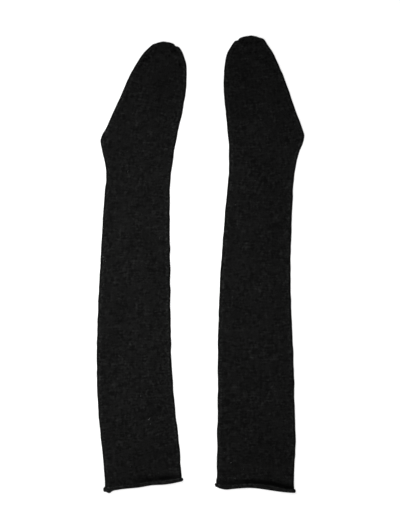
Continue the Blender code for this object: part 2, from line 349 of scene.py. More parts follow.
RIGHT = SockTables(
    name="sock_right",
    heel_side=1.0,
    sections=(
        Section(-407.3, 99.3, 140.4, 3.6, 3.6),
        Section(-375.0, 99.3, 139.6, 1.4, 3.7),
        Section(-345.0, 100.3, 141.4, 0.5, 3.5),
        Section(-265.0, 100.7, 139.3, -0.3, 3.4),
        Section(-165.0, 99.4, 136.2, -0.8, 3.4),
        Section(-65.0, 98.5, 129.8, 0.6, 3.4),
        Section(35.0, 101.6, 123.2, 2.6, 3.5),
        Section(124.0, 107.0, 119.2, 3.4, 3.8),
        Section(166.0, 110.5, 118.9, 2.2, 4.0),
        Section(190.0, 113.1, 123.9, 0.6, 4.2),
        Section(207.0, 116.3, 130.3, -1.6, 4.4),
        Section(223.0, 119.2, 136.6, -4.2, 4.5),
        Section(235.0, 117.2, 135.3, -5.8, 4.4),
        Section(265.0, 110.0, 126.6, -7.6, 4.1),
        Section(304.0, 101.1, 117.5, -7.4, 3.9),
        Section(338.0, 94.8, 106.4, -5.4, 3.8),
        Section(363.0, 90.9, 94.4, -3.6, 3.7),
        Section(383.0, 88.9, 79.3, -2.2, 3.6),
        Section(396.0, 88.8, 62.5, -1.2, 3.5),
        Section(403.0, 89.6, 52.6, -0.6, 3.5),
        Section(407.6, 90.8, 36.0, 0.0, 3.5),
        Section(409.8, 91.4, 20.0, 0.0, 3.5),
    ),
    cuff=(
        CuffPoint(-1.0, 0.5),
        CuffPoint(-0.7, 1.0),
        CuffPoint(-0.2, -3.2),
        CuffPoint(0.25, -2.3),
        CuffPoint(0.5, -0.8),
        CuffPoint(0.9, 0.4),
        CuffPoint(1.0, 0.3),
    ),
    roll=(
        RollPoint(-1.0, 7.6, 4.2, 0.0),
        RollPoint(-0.8, 8.8, 3.3, 0.1),
        RollPoint(-0.5, 8.2, 3.6, 0.8),
        RollPoint(-0.25, 8.5, 4.2, 1.4),
        RollPoint(0.2, 9.3, 4.6, 1.6),
        RollPoint(0.5, 8.6, 4.8, 1.8),
        RollPoint(0.72, 6.4, 4.8, 1.8),
        RollPoint(0.9, 5.8, 4.6, 1.6),
        RollPoint(1.0, 6.2, 4.4, 0.6),
    ),
    folds=(
        Crease(y=214, x=160, length=32, width=18, turn_deg=-66, rise=1.3),
        Crease(y=170, x=78, length=40, width=12, turn_deg=14, rise=0.8),
        Crease(y=106, x=124, length=48, width=13, turn_deg=-22, rise=0.8),
        Crease(y=-8, x=62, length=76, width=13, turn_deg=6, rise=0.7),
        Crease(y=-150, x=128, length=82, width=14, turn_deg=-8, rise=0.7),
        Crease(y=-352, x=78, length=24, width=42, turn_deg=5, rise=1.0),
    ),
    creases=(
        Crease(y=223, x=154, length=28, width=2.0, turn_deg=-94, rise=-0.34, bow=-3.0),
        Crease(y=182, x=104, length=20, width=4.4, turn_deg=-66, rise=-0.4, bow=3.0),
        Crease(y=156, x=88, length=26, width=5.6, turn_deg=-58, rise=0.42, bow=4.0),
        Crease(y=136, x=128, length=26, width=5.0, turn_deg=-40, rise=-0.34, bow=-4.0),
        Crease(y=242, x=96, length=26, width=5.4, turn_deg=52, rise=0.36, bow=-3.0),
        Crease(y=276, x=124, length=28, width=6.0, turn_deg=-28, rise=0.38, bow=3.0),
        Crease(y=322, x=84, length=30, width=6.0, turn_deg=-8, rise=-0.3, bow=-4.0),
        Crease(y=352, x=104, length=20, width=5.0, turn_deg=-20, rise=0.3),
        Crease(y=64, x=74, length=44, width=7.0, turn_deg=-12, rise=0.4, bow=-5.0),
        Crease(y=40, x=134, length=48, width=8.0, turn_deg=14, rise=-0.32, bow=5.0),
        Crease(y=-46, x=104, length=36, width=6.0, turn_deg=30, rise=0.36, bow=-3.0),
        Crease(y=-96, x=66, length=42, width=8.0, turn_deg=-10, rise=-0.3, bow=4.0),
        Crease(y=-158, x=90, length=34, width=6.5, turn_deg=-34, rise=0.36, bow=-4.0),
        Crease(y=-228, x=136, length=48, width=9.0, turn_deg=18, rise=0.34, bow=-6.0),
        Crease(y=-256, x=72, length=32, width=7.0, turn_deg=-44, rise=-0.38, bow=3.0),
        Crease(y=-262, x=84, length=12, width=3.0, turn_deg=-62, rise=0.36),
        Crease(y=-322, x=112, length=30, width=3.2, turn_deg=88, rise=-0.3, bow=2.0),
        Crease(y=-330, x=134, length=20, width=3.0, turn_deg=80, rise=0.3, bow=-1.5),
        Crease(y=-385, x=50, length=13, width=1.5, turn_deg=90, rise=0.7, bow=0.8),
        Crease(y=-366, x=92, length=24, width=3.4, turn_deg=94, rise=0.3, bow=-2.0),
        Crease(y=-372, x=146, length=16, width=6.0, turn_deg=60, rise=0.4, bow=2.0),
    ),
    nicks=(
        Nick(y=404.5, x=66.0, radius=3.4, pull_x=1.6, pull_y=-1.6),
        Nick(y=408.5, x=106.0, radius=5.0, pull_x=-0.5, pull_y=-0.6),
        Nick(y=232.0, x=186.5, radius=3.0, pull_x=0.6, pull_y=0.2),
        Nick(y=-391.0, x=32.0, radius=5.0, pull_x=-1.7, pull_y=0.0),
        Nick(y=-400.0, x=28.5, radius=5.0, pull_x=-0.8, pull_y=3.4),
        Nick(y=-403.0, x=46.0, radius=9.0, pull_x=0.0, pull_y=-1.3),
    ),
    pits=(
        Pit(y=397.6, x=74.3, radius=2.0),
        Pit(y=393.3, x=79.6, radius=2.0),
        Pit(y=397.6, x=83.7, radius=2.4),
        Pit(y=397.4, x=90.7, radius=2.0),
        Pit(y=402.7, x=77.4, radius=1.9),
        Pit(y=399.6, x=104.4, radius=2.4),
        Pit(y=380.9, x=68.4, radius=1.9),
        Pit(y=380.9, x=99.2, radius=2.4),
        Pit(y=380.3, x=89.8, radius=1.9),
        Pit(y=371.3, x=118.1, radius=2.1),
        Pit(y=363.6, x=119.0, radius=1.9),
        Pit(y=386.5, x=60.7, radius=2.0),
        Pit(y=347.0, x=133.9, radius=2.2),
    ),
    linking=(
        Spot(400.4, 71.0),
        Spot(397.6, 74.5),
        Spot(395.8, 86.0),
        Spot(397.6, 99.0),
        Spot(402.2, 107.8),
    ),
    lint=(
        Fleck(y=-358.5, x=55.0, length=3.2, thickness=0.5, turn_deg=20, bow=0.6),
        Fleck(y=106.0, x=63.0, length=3.6, thickness=0.3, turn_deg=-50, bow=0.6),
        Fleck(y=-60.0, x=58.0, length=3.4, thickness=0.35, turn_deg=30, bow=0.6),
        Fleck(y=-386.5, x=63.0, length=3.0, thickness=0.4, turn_deg=40, bow=0.4),
    ),
    seed=23,
)


def smooth_step(share: np.ndarray | float) -> np.ndarray:
    """0 to 1 with level ends, for shares cut to that range."""
    share = np.clip(share, 0.0, 1.0)
    return share * share * (3.0 - 2.0 * share)


def bell(share: np.ndarray) -> np.ndarray:
    """1 where the share is 0, falling on both sides to nothing at about 2."""
    return np.exp(-(share**2))


def curve_through(knots: np.ndarray, rows: np.ndarray, places: np.ndarray) -> np.ndarray:
    """A natural cubic curve through rows of values at the knots.

    Args:
        knots: Places of the rows, rising.
        rows: One row of values for each knot.
        places: Where to read the curve, in any shape.

    Returns:
        The values at the places, with one more dimension than places has.
    """
    knots = np.asarray(knots, float)
    rows = np.asarray(rows, float)
    places = np.asarray(places, float)
    gaps = np.diff(knots)
    slopes = np.diff(rows, axis=0) / gaps[:, None]
    bends = np.eye(len(knots))
    loads = np.zeros_like(rows)
    for i in range(1, len(knots) - 1):
        bends[i, i - 1 : i + 2] = gaps[i - 1], 2.0 * (gaps[i - 1] + gaps[i]), gaps[i]
        loads[i] = 6.0 * (slopes[i] - slopes[i - 1])
    curvature = np.linalg.solve(bends, loads)
    first = np.clip(np.searchsorted(knots, places) - 1, 0, len(gaps) - 1)
    gap = gaps[first][..., None]
    before = places[..., None] - knots[first][..., None]
    after = gap - before
    bowed = (curvature[first] * after**3 + curvature[first + 1] * before**3) / (6.0 * gap)
    from_first = (rows[first] / gap - curvature[first] * gap / 6.0) * after
    from_second = (rows[first + 1] / gap - curvature[first + 1] * gap / 6.0) * before
    return bowed + from_first + from_second


@dataclass(frozen=True)
class Ripple:
    """An uneven, wavy field: many flat waves of mixed lengths and directions, drawn from a fixed seed."""

    height: float
    shortest: float
    longest: float
    seed: int
    waves: int = 28

    def height_at(self, x: np.ndarray, y: np.ndarray) -> np.ndarray:
        """The field's value at each point.

        Args:
            x: Places across, in millimetres.
            y: Places along, in millimetres.

        Returns:
            The height at each place, which seldom passes twice the field's own height.
        """
        draw = np.random.default_rng(self.seed)
        total = np.zeros(np.broadcast(x, y).shape)
        for _ in range(self.waves):
            length = draw.uniform(self.shortest, self.longest)
            heading, phase = draw.uniform(0.0, FULL_TURN, 2)
            total += np.sin(FULL_TURN * (x * math.cos(heading) + y * math.sin(heading)) / length + phase)
        return total * self.height * math.sqrt(2.0 / self.waves)


class Ring:
    """The points round the tube: from the middle of the underside, by the right edge, over the top and back.

    flat is a point's share of the flat half width and turn its angle on the edge's arc. over is how far
    it takes the upper cloth's form, and lap how far it has come from the under to the upper cloth.
    wrap_flat and wrap_arc are how often the flat half width and the edge's radius lie between it and the
    middle of the top, going round; the last of these closes the ring.
    """

    UNDER_POINTS = 37
    SIDE_POINTS = 16
    OVER_POINTS = 121
    EDGE_CLOSENESS = 0.5

    def __init__(self) -> None:
        """Lays the points out."""
        under = self.eased(self.UNDER_POINTS)
        over = self.eased(self.OVER_POINTS)[::-1]
        arc = np.linspace(-QUARTER_TURN, QUARTER_TURN, self.SIDE_POINTS + 2)[1:-1]
        right, left = under[under > -ROUNDING], under[under < -ROUNDING]
        side = np.ones(self.SIDE_POINTS)
        self.flat = np.concatenate([right, side, over, -side, left])
        self.turn = np.concatenate(
            [
                np.full(len(right), -QUARTER_TURN),
                arc,
                np.full(len(over), QUARTER_TURN),
                math.pi - arc[::-1],
                np.full(len(left), 3.0 * QUARTER_TURN),
            ]
        )
        self.on_top = np.abs(self.turn - QUARTER_TURN) < ROUNDING
        self.over = np.maximum(np.sin(self.turn), 0.0)
        self.lap = (1.0 + np.sin(self.turn)) / 2.0
        self.wrap_flat = np.concatenate([2.0 - right, side, over, -side, -2.0 - left, [-2.0]])
        self.wrap_arc = np.concatenate(
            [
                np.full(len(right), 2.0 * QUARTER_TURN),
                QUARTER_TURN - arc,
                np.zeros(len(over)),
                QUARTER_TURN - self.turn[len(right) + len(side) + len(over) :][: len(side)],
                np.full(len(left) + 1, -2.0 * QUARTER_TURN),
            ]
        )
        self.count = len(self.flat)

    def eased(self, count: int) -> np.ndarray:
        """Shares from -1 to 1, closer together towards both ends."""
        even = np.linspace(-1.0, 1.0, count)
        return even * (1.0 - self.EDGE_CLOSENESS) + np.sin(even * QUARTER_TURN) * self.EDGE_CLOSENESS


@dataclass
class Band:
    """Rows of points on the shell, with their stitch coordinates and the marks that the finish reads.

    points is rows by ring by 3, wale and course are rows by ring, wale with one more column that closes
    the ring. The five marks after them are rows by ring, in order: the share of the purl side, how brushed
    an edge is, a painted sheen just inside that edge, the yarn's colour factor with its darker foot and
    with painted shade and painted highlights on it, and where loose fibres grow.
    """

    points: np.ndarray
    wale: np.ndarray
    course: np.ndarray
    purl: np.ndarray
    nap: np.ndarray
    rim: np.ndarray
    tone: np.ndarray
    hair: np.ndarray


class TubeForm:
    """The flattened tube of one sock, which gives a point for any place along, round and outwards."""

    EDGES_APART = 40.0
    WAVE_FADE = 30.0
    EDGE_SAMPLES = 1600

    def __init__(self, tables: SockTables, ring: Ring) -> None:
        """Works out the places of the sections along the tube.

        Args:
            tables: The sock's measures.
            ring: The points round the tube.
        """
        self.tables = tables
        self.ring = ring
        self.rows = np.array([[s.y, s.x, s.width, s.lean_deg, s.height] for s in tables.sections])
        middle_steps = np.linalg.norm(np.diff(self.rows[:, :2], axis=0), axis=1)
        width_steps = np.diff(self.rows[:, 2]) / 2.0
        self.knots = np.concatenate([[0.0], np.cumsum(np.hypot(middle_steps, width_steps))])
        self.length = float(self.knots[-1])
        self.broad = Ripple(height=0.2, shortest=34.0, longest=90.0, seed=tables.seed)
        self.cockle = Ripple(height=0.055, shortest=6.0, longest=15.0, seed=tables.seed + 1)
        self.edge_wave = Ripple(height=0.22, shortest=14.0, longest=60.0, seed=tables.seed + 2)

    def section_at(self, place: np.ndarray) -> tuple[np.ndarray, ...]:
        """The tube's section at each place.

        Args:
            place: Places along the tube, in any shape.

        Returns:
            The middle's y and x, the width, the lean in radians and the height, each in that shape.
        """
        found = curve_through(self.knots, self.rows, place)
        y, x, width, lean_deg, height = np.moveaxis(found, -1, 0)
        return y, x, width, np.radians(lean_deg), height

    def cuff_reach(self, across: np.ndarray, place: np.ndarray) -> np.ndarray:
        """How far the cuff's own uneven line pushes each point along the leg.

        Args:
            across: Shares of the half width.
            place: Places along the tube.

        Returns:
            The push at each point, in millimetres.
        """
        points = self.tables.cuff
        shares = [point.across for point in points]
        reach = curve_through(shares, [[point.reach] for point in points], np.clip(across, -1.0, 1.0))
        return reach[..., 0] * (1.0 - smooth_step(place / CUFF_LINE_REACH))

    def crease_rise(self, creases: tuple[Crease, ...], x: np.ndarray, y: np.ndarray) -> np.ndarray:
        """How far the given creases lift the cloth at each point."""
        return sum((crease.height_at(x, y) for crease in creases), np.zeros(np.shape(x)))

    def relief(self, x: np.ndarray, y: np.ndarray, place: np.ndarray, inset: np.ndarray) -> np.ndarray:
        """How far folds, creases, the toe's decreases and the cloth's own unevenness lift the upper cloth.

        Args:
            x: Places across.
            y: Places along.
            place: Places along the tube.
            inset: How far each point lies inside the nearer long edge.

        Returns:
            The lift at each point.
        """
        rise = self.broad.height_at(x, y) + self.cockle.height_at(x, y)
        rise += self.crease_rise(self.tables.folds + self.tables.creases, x, y)
        rise -= ToeShaping.DEPTH * ToeShaping.dimples(self.length - place, inset)
        return rise - ToeShaping.PIT_DEPTH * ToeShaping.pits(self.tables.pits, x, y)

    def points(
        self,
        place: np.ndarray,
        outward: np.ndarray,
        shrink: float = 0.0,
        flatten: float = 1.0,
        groove: np.ndarray | float = 0.0,
    ) -> np.ndarray:
        """Points round the tube at places along it, moved outward from the cloth's outer face.

        Args:
            place: Places along the tube, rows by ring.
            outward: Distances from the outer face, rows by ring.
            shrink: Taken off the half width.
            flatten: Scales the heights about half height.
            groove: How far the upper cloth dips, rows by ring.

        Returns:
            The points, rows by ring by 3, in millimetres in the maker's frame.
        """
        ring = self.ring
        y, x, width, lean, height = self.section_at(place)
        wave = self.edge_wave.height_at(place, self.EDGES_APART * np.sign(ring.flat))
        wave = wave * smooth_step((self.length - place) / self.WAVE_FADE)
        reach = width / 2.0 - EDGE_RADIUS - shrink + wave
        side = (EDGE_RADIUS + outward) * np.cos(ring.turn)
        across = ring.flat * reach + side
        level = EDGE_RADIUS + (EDGE_RADIUS + outward) * np.sin(ring.turn)
        inset = reach * (1.0 - np.abs(ring.flat))
        to_edge = smooth_step(1.0 - inset / EDGE_REACH)
        level = level + ring.on_top * (height - EDGE_HEIGHT) * (1.0 - to_edge)
        backward = self.cuff_reach(across / (width / 2.0), place)
        world_x = x + across * np.cos(lean) - backward * np.sin(lean)
        world_y = y - across * np.sin(lean) - backward * np.cos(lean)
        level = EDGE_RADIUS + (level - EDGE_RADIUS) * flatten
        room = height - 2.0 * WALL - LEAST_GAP
        rise = self.relief(world_x, world_y, place, inset) - groove
        level = level + ring.over * flatten * np.maximum(rise, -room)
        level = level + CUFF_LIFT * (1.0 - smooth_step(place / LIFT_REACH))
        for nick in self.tables.nicks:
            near = nick.nearness(world_x, world_y)
            world_x = world_x + nick.pull_x * near
            world_y = world_y + nick.pull_y * near
        return np.stack([world_x, world_y, np.maximum(level, 0.0)], axis=-1)

    def stitches(self, place: np.ndarray, along: np.ndarray) -> tuple[np.ndarray, np.ndarray]:
        """The knit's own coordinates, counted in stitches.

        Args:
            place: Places along the tube, rows by ring.
            along: The distance that the courses are counted by, rows by ring.

        Returns:
            The wale at each point, with a column more that closes the ring, and the course.
        """
        ring = self.ring
        at = np.concatenate([place, place[:, :1]], axis=1)
        width = self.section_at(at)[2]
        reach = width / 2.0 - EDGE_RADIUS
        round_it = 4.0 * reach + FULL_TURN * EDGE_RADIUS
        ankle_round = 4.0 * ANKLE_HALF_WIDTH + (FULL_TURN - 4.0) * EDGE_RADIUS
        in_leg = 1.0 - smooth_step((at - self.ankle_place()) / ANKLE_BLEND + 0.5)
        pitch = (in_leg * round_it + (1.0 - in_leg) * ankle_round) / STITCHES_ROUND
        shift = -self.tables.heel_side * (1.0 - in_leg) * np.maximum(width / 2.0 - ANKLE_HALF_WIDTH, 0.0)
        wale = (ring.wrap_flat * reach + ring.wrap_arc * EDGE_RADIUS - shift) / pitch
        return wale, along / COURSE

    def ankle_place(self) -> float:
        """The place along the tube of its narrowest section in the leg."""
        legs = self.rows[: len(self.rows) // 2]
        return float(self.knots[int(np.argmin(legs[:, 2]))])

    def outer_edge(self) -> float:
        """The outermost x of the plain wall, on the heel's side.

        Returns:
            The x, in millimetres in the maker's frame.
        """
        place = np.linspace(0.0, self.length, self.EDGE_SAMPLES)
        y, x, width, lean, height = self.section_at(place)
        edges = x + self.tables.heel_side * width / 2.0 * np.cos(lean)
        return float(np.max(edges * self.tables.heel_side) * self.tables.heel_side)

    def toe_tip(self) -> float:
        """The outermost y of the plain toe, as the solid has it."""
        return float(self.rows[-1, 0] + NOSE_RADIUS * math.sin(math.radians(SOLID_NOSE_TURN_DEG)))


class ToeShaping:
    """The toe's decreases: a row of small dimples inside each long edge of the toe."""

    DEPTH = 0.34
    SPACING = 4.3
    INSET = 7.5
    REACH = 2.1
    FROM_TIP = 5.0
    TO_TIP = 66.0
    FADE = 10.0
    PIT_DEPTH = 0.5

    @classmethod
    def pits(cls, table: tuple[Pit, ...], x: np.ndarray, y: np.ndarray) -> np.ndarray:
        """How deep in a pit each point lies, from 0 to 1.

        Args:
            table: The sock's pits.
            x: Places across, in millimetres.
            y: Places along, in millimetres.

        Returns:
            The share of a pit's depth at each point.
        """
        found = np.zeros(np.shape(x))
        for pit in table:
            found = np.maximum(found, pit.nearness(x, y))
        return found

    @classmethod
    def dimples(cls, from_tip: np.ndarray, inset: np.ndarray) -> np.ndarray:
        """How deep in a dimple each point lies, from 0 to 1.

        Args:
            from_tip: Distances from the toe's tip, along the tube.
            inset: Distances from the nearer long edge.

        Returns:
            The share of a dimple's depth at each point.
        """
        beat = np.cos(math.pi * from_tip / cls.SPACING) ** 4
        line = bell((inset - cls.INSET) / cls.REACH)
        start = smooth_step((from_tip - cls.FROM_TIP) / cls.FADE)
        return beat * line * start * (1.0 - smooth_step((from_tip - cls.TO_TIP) / cls.FADE))


@dataclass(frozen=True)
class CuffRoll:
    """The cuff's free edge, curled outwards into a spiral, thinner where it lies under the sock."""

    under_length: float = 6.6
    under_thickness: float = 3.2
    over_turns_deg: float = 395.0
    under_turns_deg: float = 262.0
    cloth_half: float = 0.62
    tip_half: float = 0.34
    closing_deg: float = 200.0
    closed_long: float = 0.5
    least_high: float = 0.1
    skin_rows: int = 24
    wall_share: float = 0.25
    slope_step: float = 0.002
    groove_behind: float = 2.4
    groove_width: float = 6.2
    groove_steepness: float = 0.45

    def sizes(self, form: TubeForm) -> tuple[np.ndarray, np.ndarray, np.ndarray]:
        """The roll's sizes round the ring.

        Args:
            form: The sock's tube.

        Returns:
            The length, the thickness and the groove at each point of the ring.
        """
        ring = form.ring
        table = form.tables.roll
        rows = [[point.length, point.thickness, point.groove] for point in table]
        found = curve_through([point.across for point in table], rows, np.clip(ring.flat, -1.0, 1.0))
        lap = smooth_step(ring.lap)
        length = self.under_length + (found[:, 0] - self.under_length) * lap
        thickness = self.under_thickness + (found[:, 1] - self.under_thickness) * lap
        return length, thickness, np.maximum(found[:, 2], 0.0) * ring.over

    def groove_at(self, form: TubeForm, place: np.ndarray) -> np.ndarray:
        """How far the upper cloth dips behind the roll.

        Args:
            form: The sock's tube.
            place: Places along the tube, rows by ring.

        Returns:
            The dip, rows by ring.
        """
        length, _, groove = self.sizes(form)
        behind = place - length - self.groove_behind
        width = np.where(behind < 0.0, self.groove_steepness, 1.0) * self.groove_width
        return groove * bell(behind / width)

    def middle(self, form: TubeForm, share: np.ndarray) -> tuple[np.ndarray, np.ndarray]:
        """The curled cloth's middle line: places along the leg and distances outward.

        Args:
            form: The sock's tube.
            share: Shares of the whole curl, one for each row.

        Returns:
            Two arrays, rows by ring.
        """
        ring = form.ring
        length, thickness, _ = self.sizes(form)
        end = self.under_turns_deg + (self.over_turns_deg - self.under_turns_deg) * smooth_step(ring.lap)
        turn = np.radians(share[:, None] * end[None, :])
        closing = smooth_step((np.degrees(turn) - self.closing_deg) / (FULL_TURN_DEG - self.closing_deg))
        long_half = length / 2.0 - self.cloth_half
        high_half = thickness / 2.0 - self.cloth_half
        closed_high = np.maximum(high_half - WALL, self.least_high)
        high = high_half + (closed_high - high_half) * closing
        long = long_half * (1.0 - self.closed_long * closing)
        place = length / 2.0 - long * np.sin(turn)
        outward = thickness / 2.0 - WALL - high * np.cos(turn)
        return place, outward

    def skins(self, form: TubeForm, share: np.ndarray, side: float) -> tuple[np.ndarray, np.ndarray]:
        """One face of the curled cloth.

        Args:
            form: The sock's tube.
            share: Shares of the whole curl, one for each row.
            side: 1 for the face outside the curl, -1 for the face inside it.

        Returns:
            Places along the leg and distances outward, rows by ring.
        """
        place, outward = self.middle(form, share)
        after = self.middle(form, share + self.slope_step)
        before = self.middle(form, share - self.slope_step)
        run, climb = after[0] - before[0], after[1] - before[1]
        size = np.maximum(np.hypot(run, climb), ROUNDING)
        half = WALL / 2.0 + (self.cloth_half - WALL / 2.0) * smooth_step(share / self.wall_share)
        half = half + (self.tip_half - half) * smooth_step(1.0 - (1.0 - share) / self.wall_share)
        half = half[:, None] * side
        return place - climb / size * half, outward + run / size * half


@dataclass(frozen=True)
class ShellPlan:
    """How finely the shell's rows are laid along the sock."""

    cuff_reach: float = 40.0
    cuff_rows: int = 30
    leg_step: float = 2.5
    toe_reach: float = 70.0
    toe_step: float = 1.3
    lining_step: float = 14.0
    lining_cuff_rows: int = 10
    cuff_closeness: float = 1.4
    nose_turns: int = 8


class Sock:
    """One sock: its knitted shell, and what lies on it."""

    FOOT_FROM_Y = 256.0
    FOOT_FADE = 9.0
    FOOT_TONE = 0.9
    # Most constants below paint light or shade into the yarn's colour: painted shade in the dimples, pits,
    # the groove behind the roll, the edges' sides and a line just inside the edges; a painted sheen inside
    # the edges; painted light and shade on the creases; and a painted highlight on the purl roll.
    DIMPLE_SHADE = 0.45
    EDGE_NAP_REACH = 4.5
    UNDER_NAP = 0.35
    RIM_INSET = 3.4
    RIM_WIDTH = 2.6
    RIM_PAINTED_SHEEN = 0.08
    LINE_INSET = 0.6
    LINE_WIDTH = 1.4
    LINE_SHADES = (0.12, 0.34)
    RIDGE_PAINTED_LIGHT = 0.5
    HIGHEST_RIDGE = 0.5
    PURL_TONE_AND_PAINTED_LIGHT = 1.06
    GROOVE_SHADE = 0.5
    DEEPEST_SHADED_GROOVE = 1.6
    PIT_SHADE = 0.85
    CURL_STRETCH = 1.7
    SIDE_SHADE = 0.75
    SIDE_FADE = 2.2
    HAIR_FROM_LAP = 0.32
    HAIR_FADE = 0.2
    NOSE_TURN_DEG = 87.0
    CURL_SAMPLES = 60

    def __init__(self, tables: SockTables, ring: Ring, plan: ShellPlan, roll: CuffRoll) -> None:
        """Takes the sock's measures.

        Args:
            tables: The sock's own tables.
            ring: The points round the tube.
            plan: How finely the shell is laid out.
            roll: The curled edge.
        """
        self.tables = tables
        self.form = TubeForm(tables, ring)
        self.plan = plan
        self.roll = roll

    def band(
        self,
        place: np.ndarray,
        outward: np.ndarray,
        along: np.ndarray,
        face: KnitFace,
        shrink: float = 0.0,
        flatten: float = 1.0,
    ) -> Band:
        """Rows of the shell.

        Args:
            place: Places along the tube, rows by ring.
            outward: Distances from the outer face, rows by ring.
            along: The distances that the courses are counted by, rows by ring.
            face: The side of the knit that shows there.
            shrink: Taken off the half width.
            flatten: Scales the heights about half height.

        Returns:
            The rows, with their marks.
        """
        ring = self.form.ring
        groove = self.roll.groove_at(self.form, place)
        points = self.form.points(place, outward, shrink, flatten, groove)
        wale, course = self.form.stitches(place, along)
        width = self.form.section_at(place)[2]
        inset = (width / 2.0 - EDGE_RADIUS) * (1.0 - np.abs(ring.flat))
        on_upper = self.UNDER_NAP + (1.0 - self.UNDER_NAP) * ring.lap
        nap = (1.0 - smooth_step(inset / self.EDGE_NAP_REACH)) * on_upper
        # Painted sheen: a lighter band just inside each long edge, weaker on the underside.
        rim = bell((inset - self.RIM_INSET) / self.RIM_WIDTH) * on_upper
        foot = smooth_step((points[..., 1] - self.FOOT_FROM_Y) / self.FOOT_FADE)
        dimples = ToeShaping.dimples(self.form.length - place, inset)
        pits = ToeShaping.pits(self.tables.pits, points[..., 0], points[..., 1])
        line = bell((inset - self.LINE_INSET) / self.LINE_WIDTH) * (inset < EDGE_REACH)
        # Each factor darkens the yarn's colour. The first is the foot's own darker yarn and the rest are
        # painted shade. The purl face's factor is below zero, so it lightens the colour.
        dye_and_painted_shades = (
            (1.0 - self.FOOT_TONE) * foot,
            # painted shade in the toe's dimples
            self.DIMPLE_SHADE * dimples * ring.over,
            # painted shade in the pits
            self.PIT_SHADE * pits * ring.over,
            # painted shade in the groove behind the roll
            self.GROOVE_SHADE * np.clip(groove, 0.0, self.DEEPEST_SHADED_GROOVE),
            # the purl face is lighter: partly the purl side's own look, partly a painted highlight on the
            # roll
            (1.0 - self.PURL_TONE_AND_PAINTED_LIGHT) * face.value,
            # painted shade on the underside and on the edges' arcs, fading out towards the top
            self.SIDE_SHADE * (1.0 - smooth_step((ring.lap - 0.5) * self.SIDE_FADE)),
            # painted shade as a dark line just inside each long edge, darker on the right edges, away from
            # the key light
            line * np.where(ring.flat < 0.0, *self.LINE_SHADES),
        )
        # Painted light and shade on the creases: ridges lighter, troughs darker.
        ridge = self.form.crease_rise(self.tables.creases, points[..., 0], points[..., 1]) * ring.over
        ridge = np.clip(ridge, -self.HIGHEST_RIDGE, self.HIGHEST_RIDGE)
        tone = 1.0 + self.RIM_PAINTED_SHEEN * rim + self.RIDGE_PAINTED_LIGHT * ridge
        for shade in dye_and_painted_shades:
            tone = tone * (1.0 - shade)
        hair = smooth_step((ring.lap - self.HAIR_FROM_LAP) / self.HAIR_FADE) * (outward > -WALL / 2.0)
        return Band(points, wale, course, np.full(place.shape, face.value), nap, rim, tone, hair)

    def wall_places(self, cuff_rows: int, step: float, end: float) -> np.ndarray:
        """Places from the middle of the roll to an end, closer together at the cuff.

        Args:
            cuff_rows: Rows in the stretch beside the roll.
            step: The rows' distance after that.
            end: The last place.

        Returns:
            Places, rows by ring.
        """
        length = self.roll.sizes(self.form)[0]
        share = np.linspace(0.0, 1.0, cuff_rows)[:, None] ** self.plan.cuff_closeness
        near = length / 2.0 + share * (self.plan.cuff_reach - length / 2.0)
        rows = max(2, round((end - self.plan.cuff_reach) / step))
        far = np.linspace(self.plan.cuff_reach, end, rows + 1)[1:, None]
        return np.concatenate([near, np.broadcast_to(far, (rows, self.form.ring.count))])

    def outer_places(self) -> np.ndarray:
        """Places of the outer wall's rows, finer at the cuff and at the toe.

        Returns:
            Places, rows by ring.
        """
        plan = self.plan
        toe_start = self.form.length - plan.toe_reach
        leg = self.wall_places(plan.cuff_rows, plan.leg_step, toe_start)
        toe = np.linspace(toe_start, self.form.length, round(plan.toe_reach / plan.toe_step) + 1)[1:, None]
        return np.concatenate([leg, np.broadcast_to(toe, (len(toe), self.form.ring.count))])

    def bands(self) -> list[Band]:
        """Every row of the closed shell: the lining from the toe, the roll's two faces and the outer wall.

        Returns:
            The bands, from the lining's end in the toe to the toe's nose.
        """
        form, plan, roll = self.form, self.plan, self.roll
        inner = self.wall_places(plan.lining_cuff_rows, plan.lining_step, form.length - SEAM_DEPTH)[::-1]
        found = [self.band(inner, np.full(inner.shape, -WALL), inner, KnitFace.PURL)]
        shares = np.linspace(0.0, 1.0, roll.skin_rows)[1:]
        for side, rows, face in ((1.0, shares, KnitFace.PURL), (-1.0, shares[::-2], KnitFace.KNIT)):
            place, outward = roll.skins(form, rows, side)
            curl = rows[:, None] * self.curl_length()[None, :] * (self.CURL_STRETCH if side > 0.0 else 1.0)
            found.append(self.band(place, outward, roll.sizes(form)[0] / 2.0 - curl, face))
        outer = self.outer_places()
        found.append(self.band(outer, np.zeros(outer.shape), outer, KnitFace.KNIT))
        for turn in np.linspace(0.0, QUARTER_TURN, plan.nose_turns + 1)[1:]:
            turn = min(turn, math.radians(self.NOSE_TURN_DEG))
            place = np.full((1, form.ring.count), form.length)
            shrink = NOSE_RADIUS * (1.0 - math.cos(turn))
            nose = self.band(place, 0.0 * place, place, KnitFace.KNIT, shrink, math.cos(turn))
            nose.points[..., 1] += NOSE_RADIUS * math.sin(turn) * (1.0 - form.ring.flat**2)
            found.append(nose)
        return found

    def curl_length(self) -> np.ndarray:
        """How much cloth the curl holds at each point of the ring."""
        place, outward = self.roll.middle(self.form, np.linspace(0.0, 1.0, self.CURL_SAMPLES))
        return np.hypot(np.diff(place, axis=0), np.diff(outward, axis=0)).sum(axis=0)

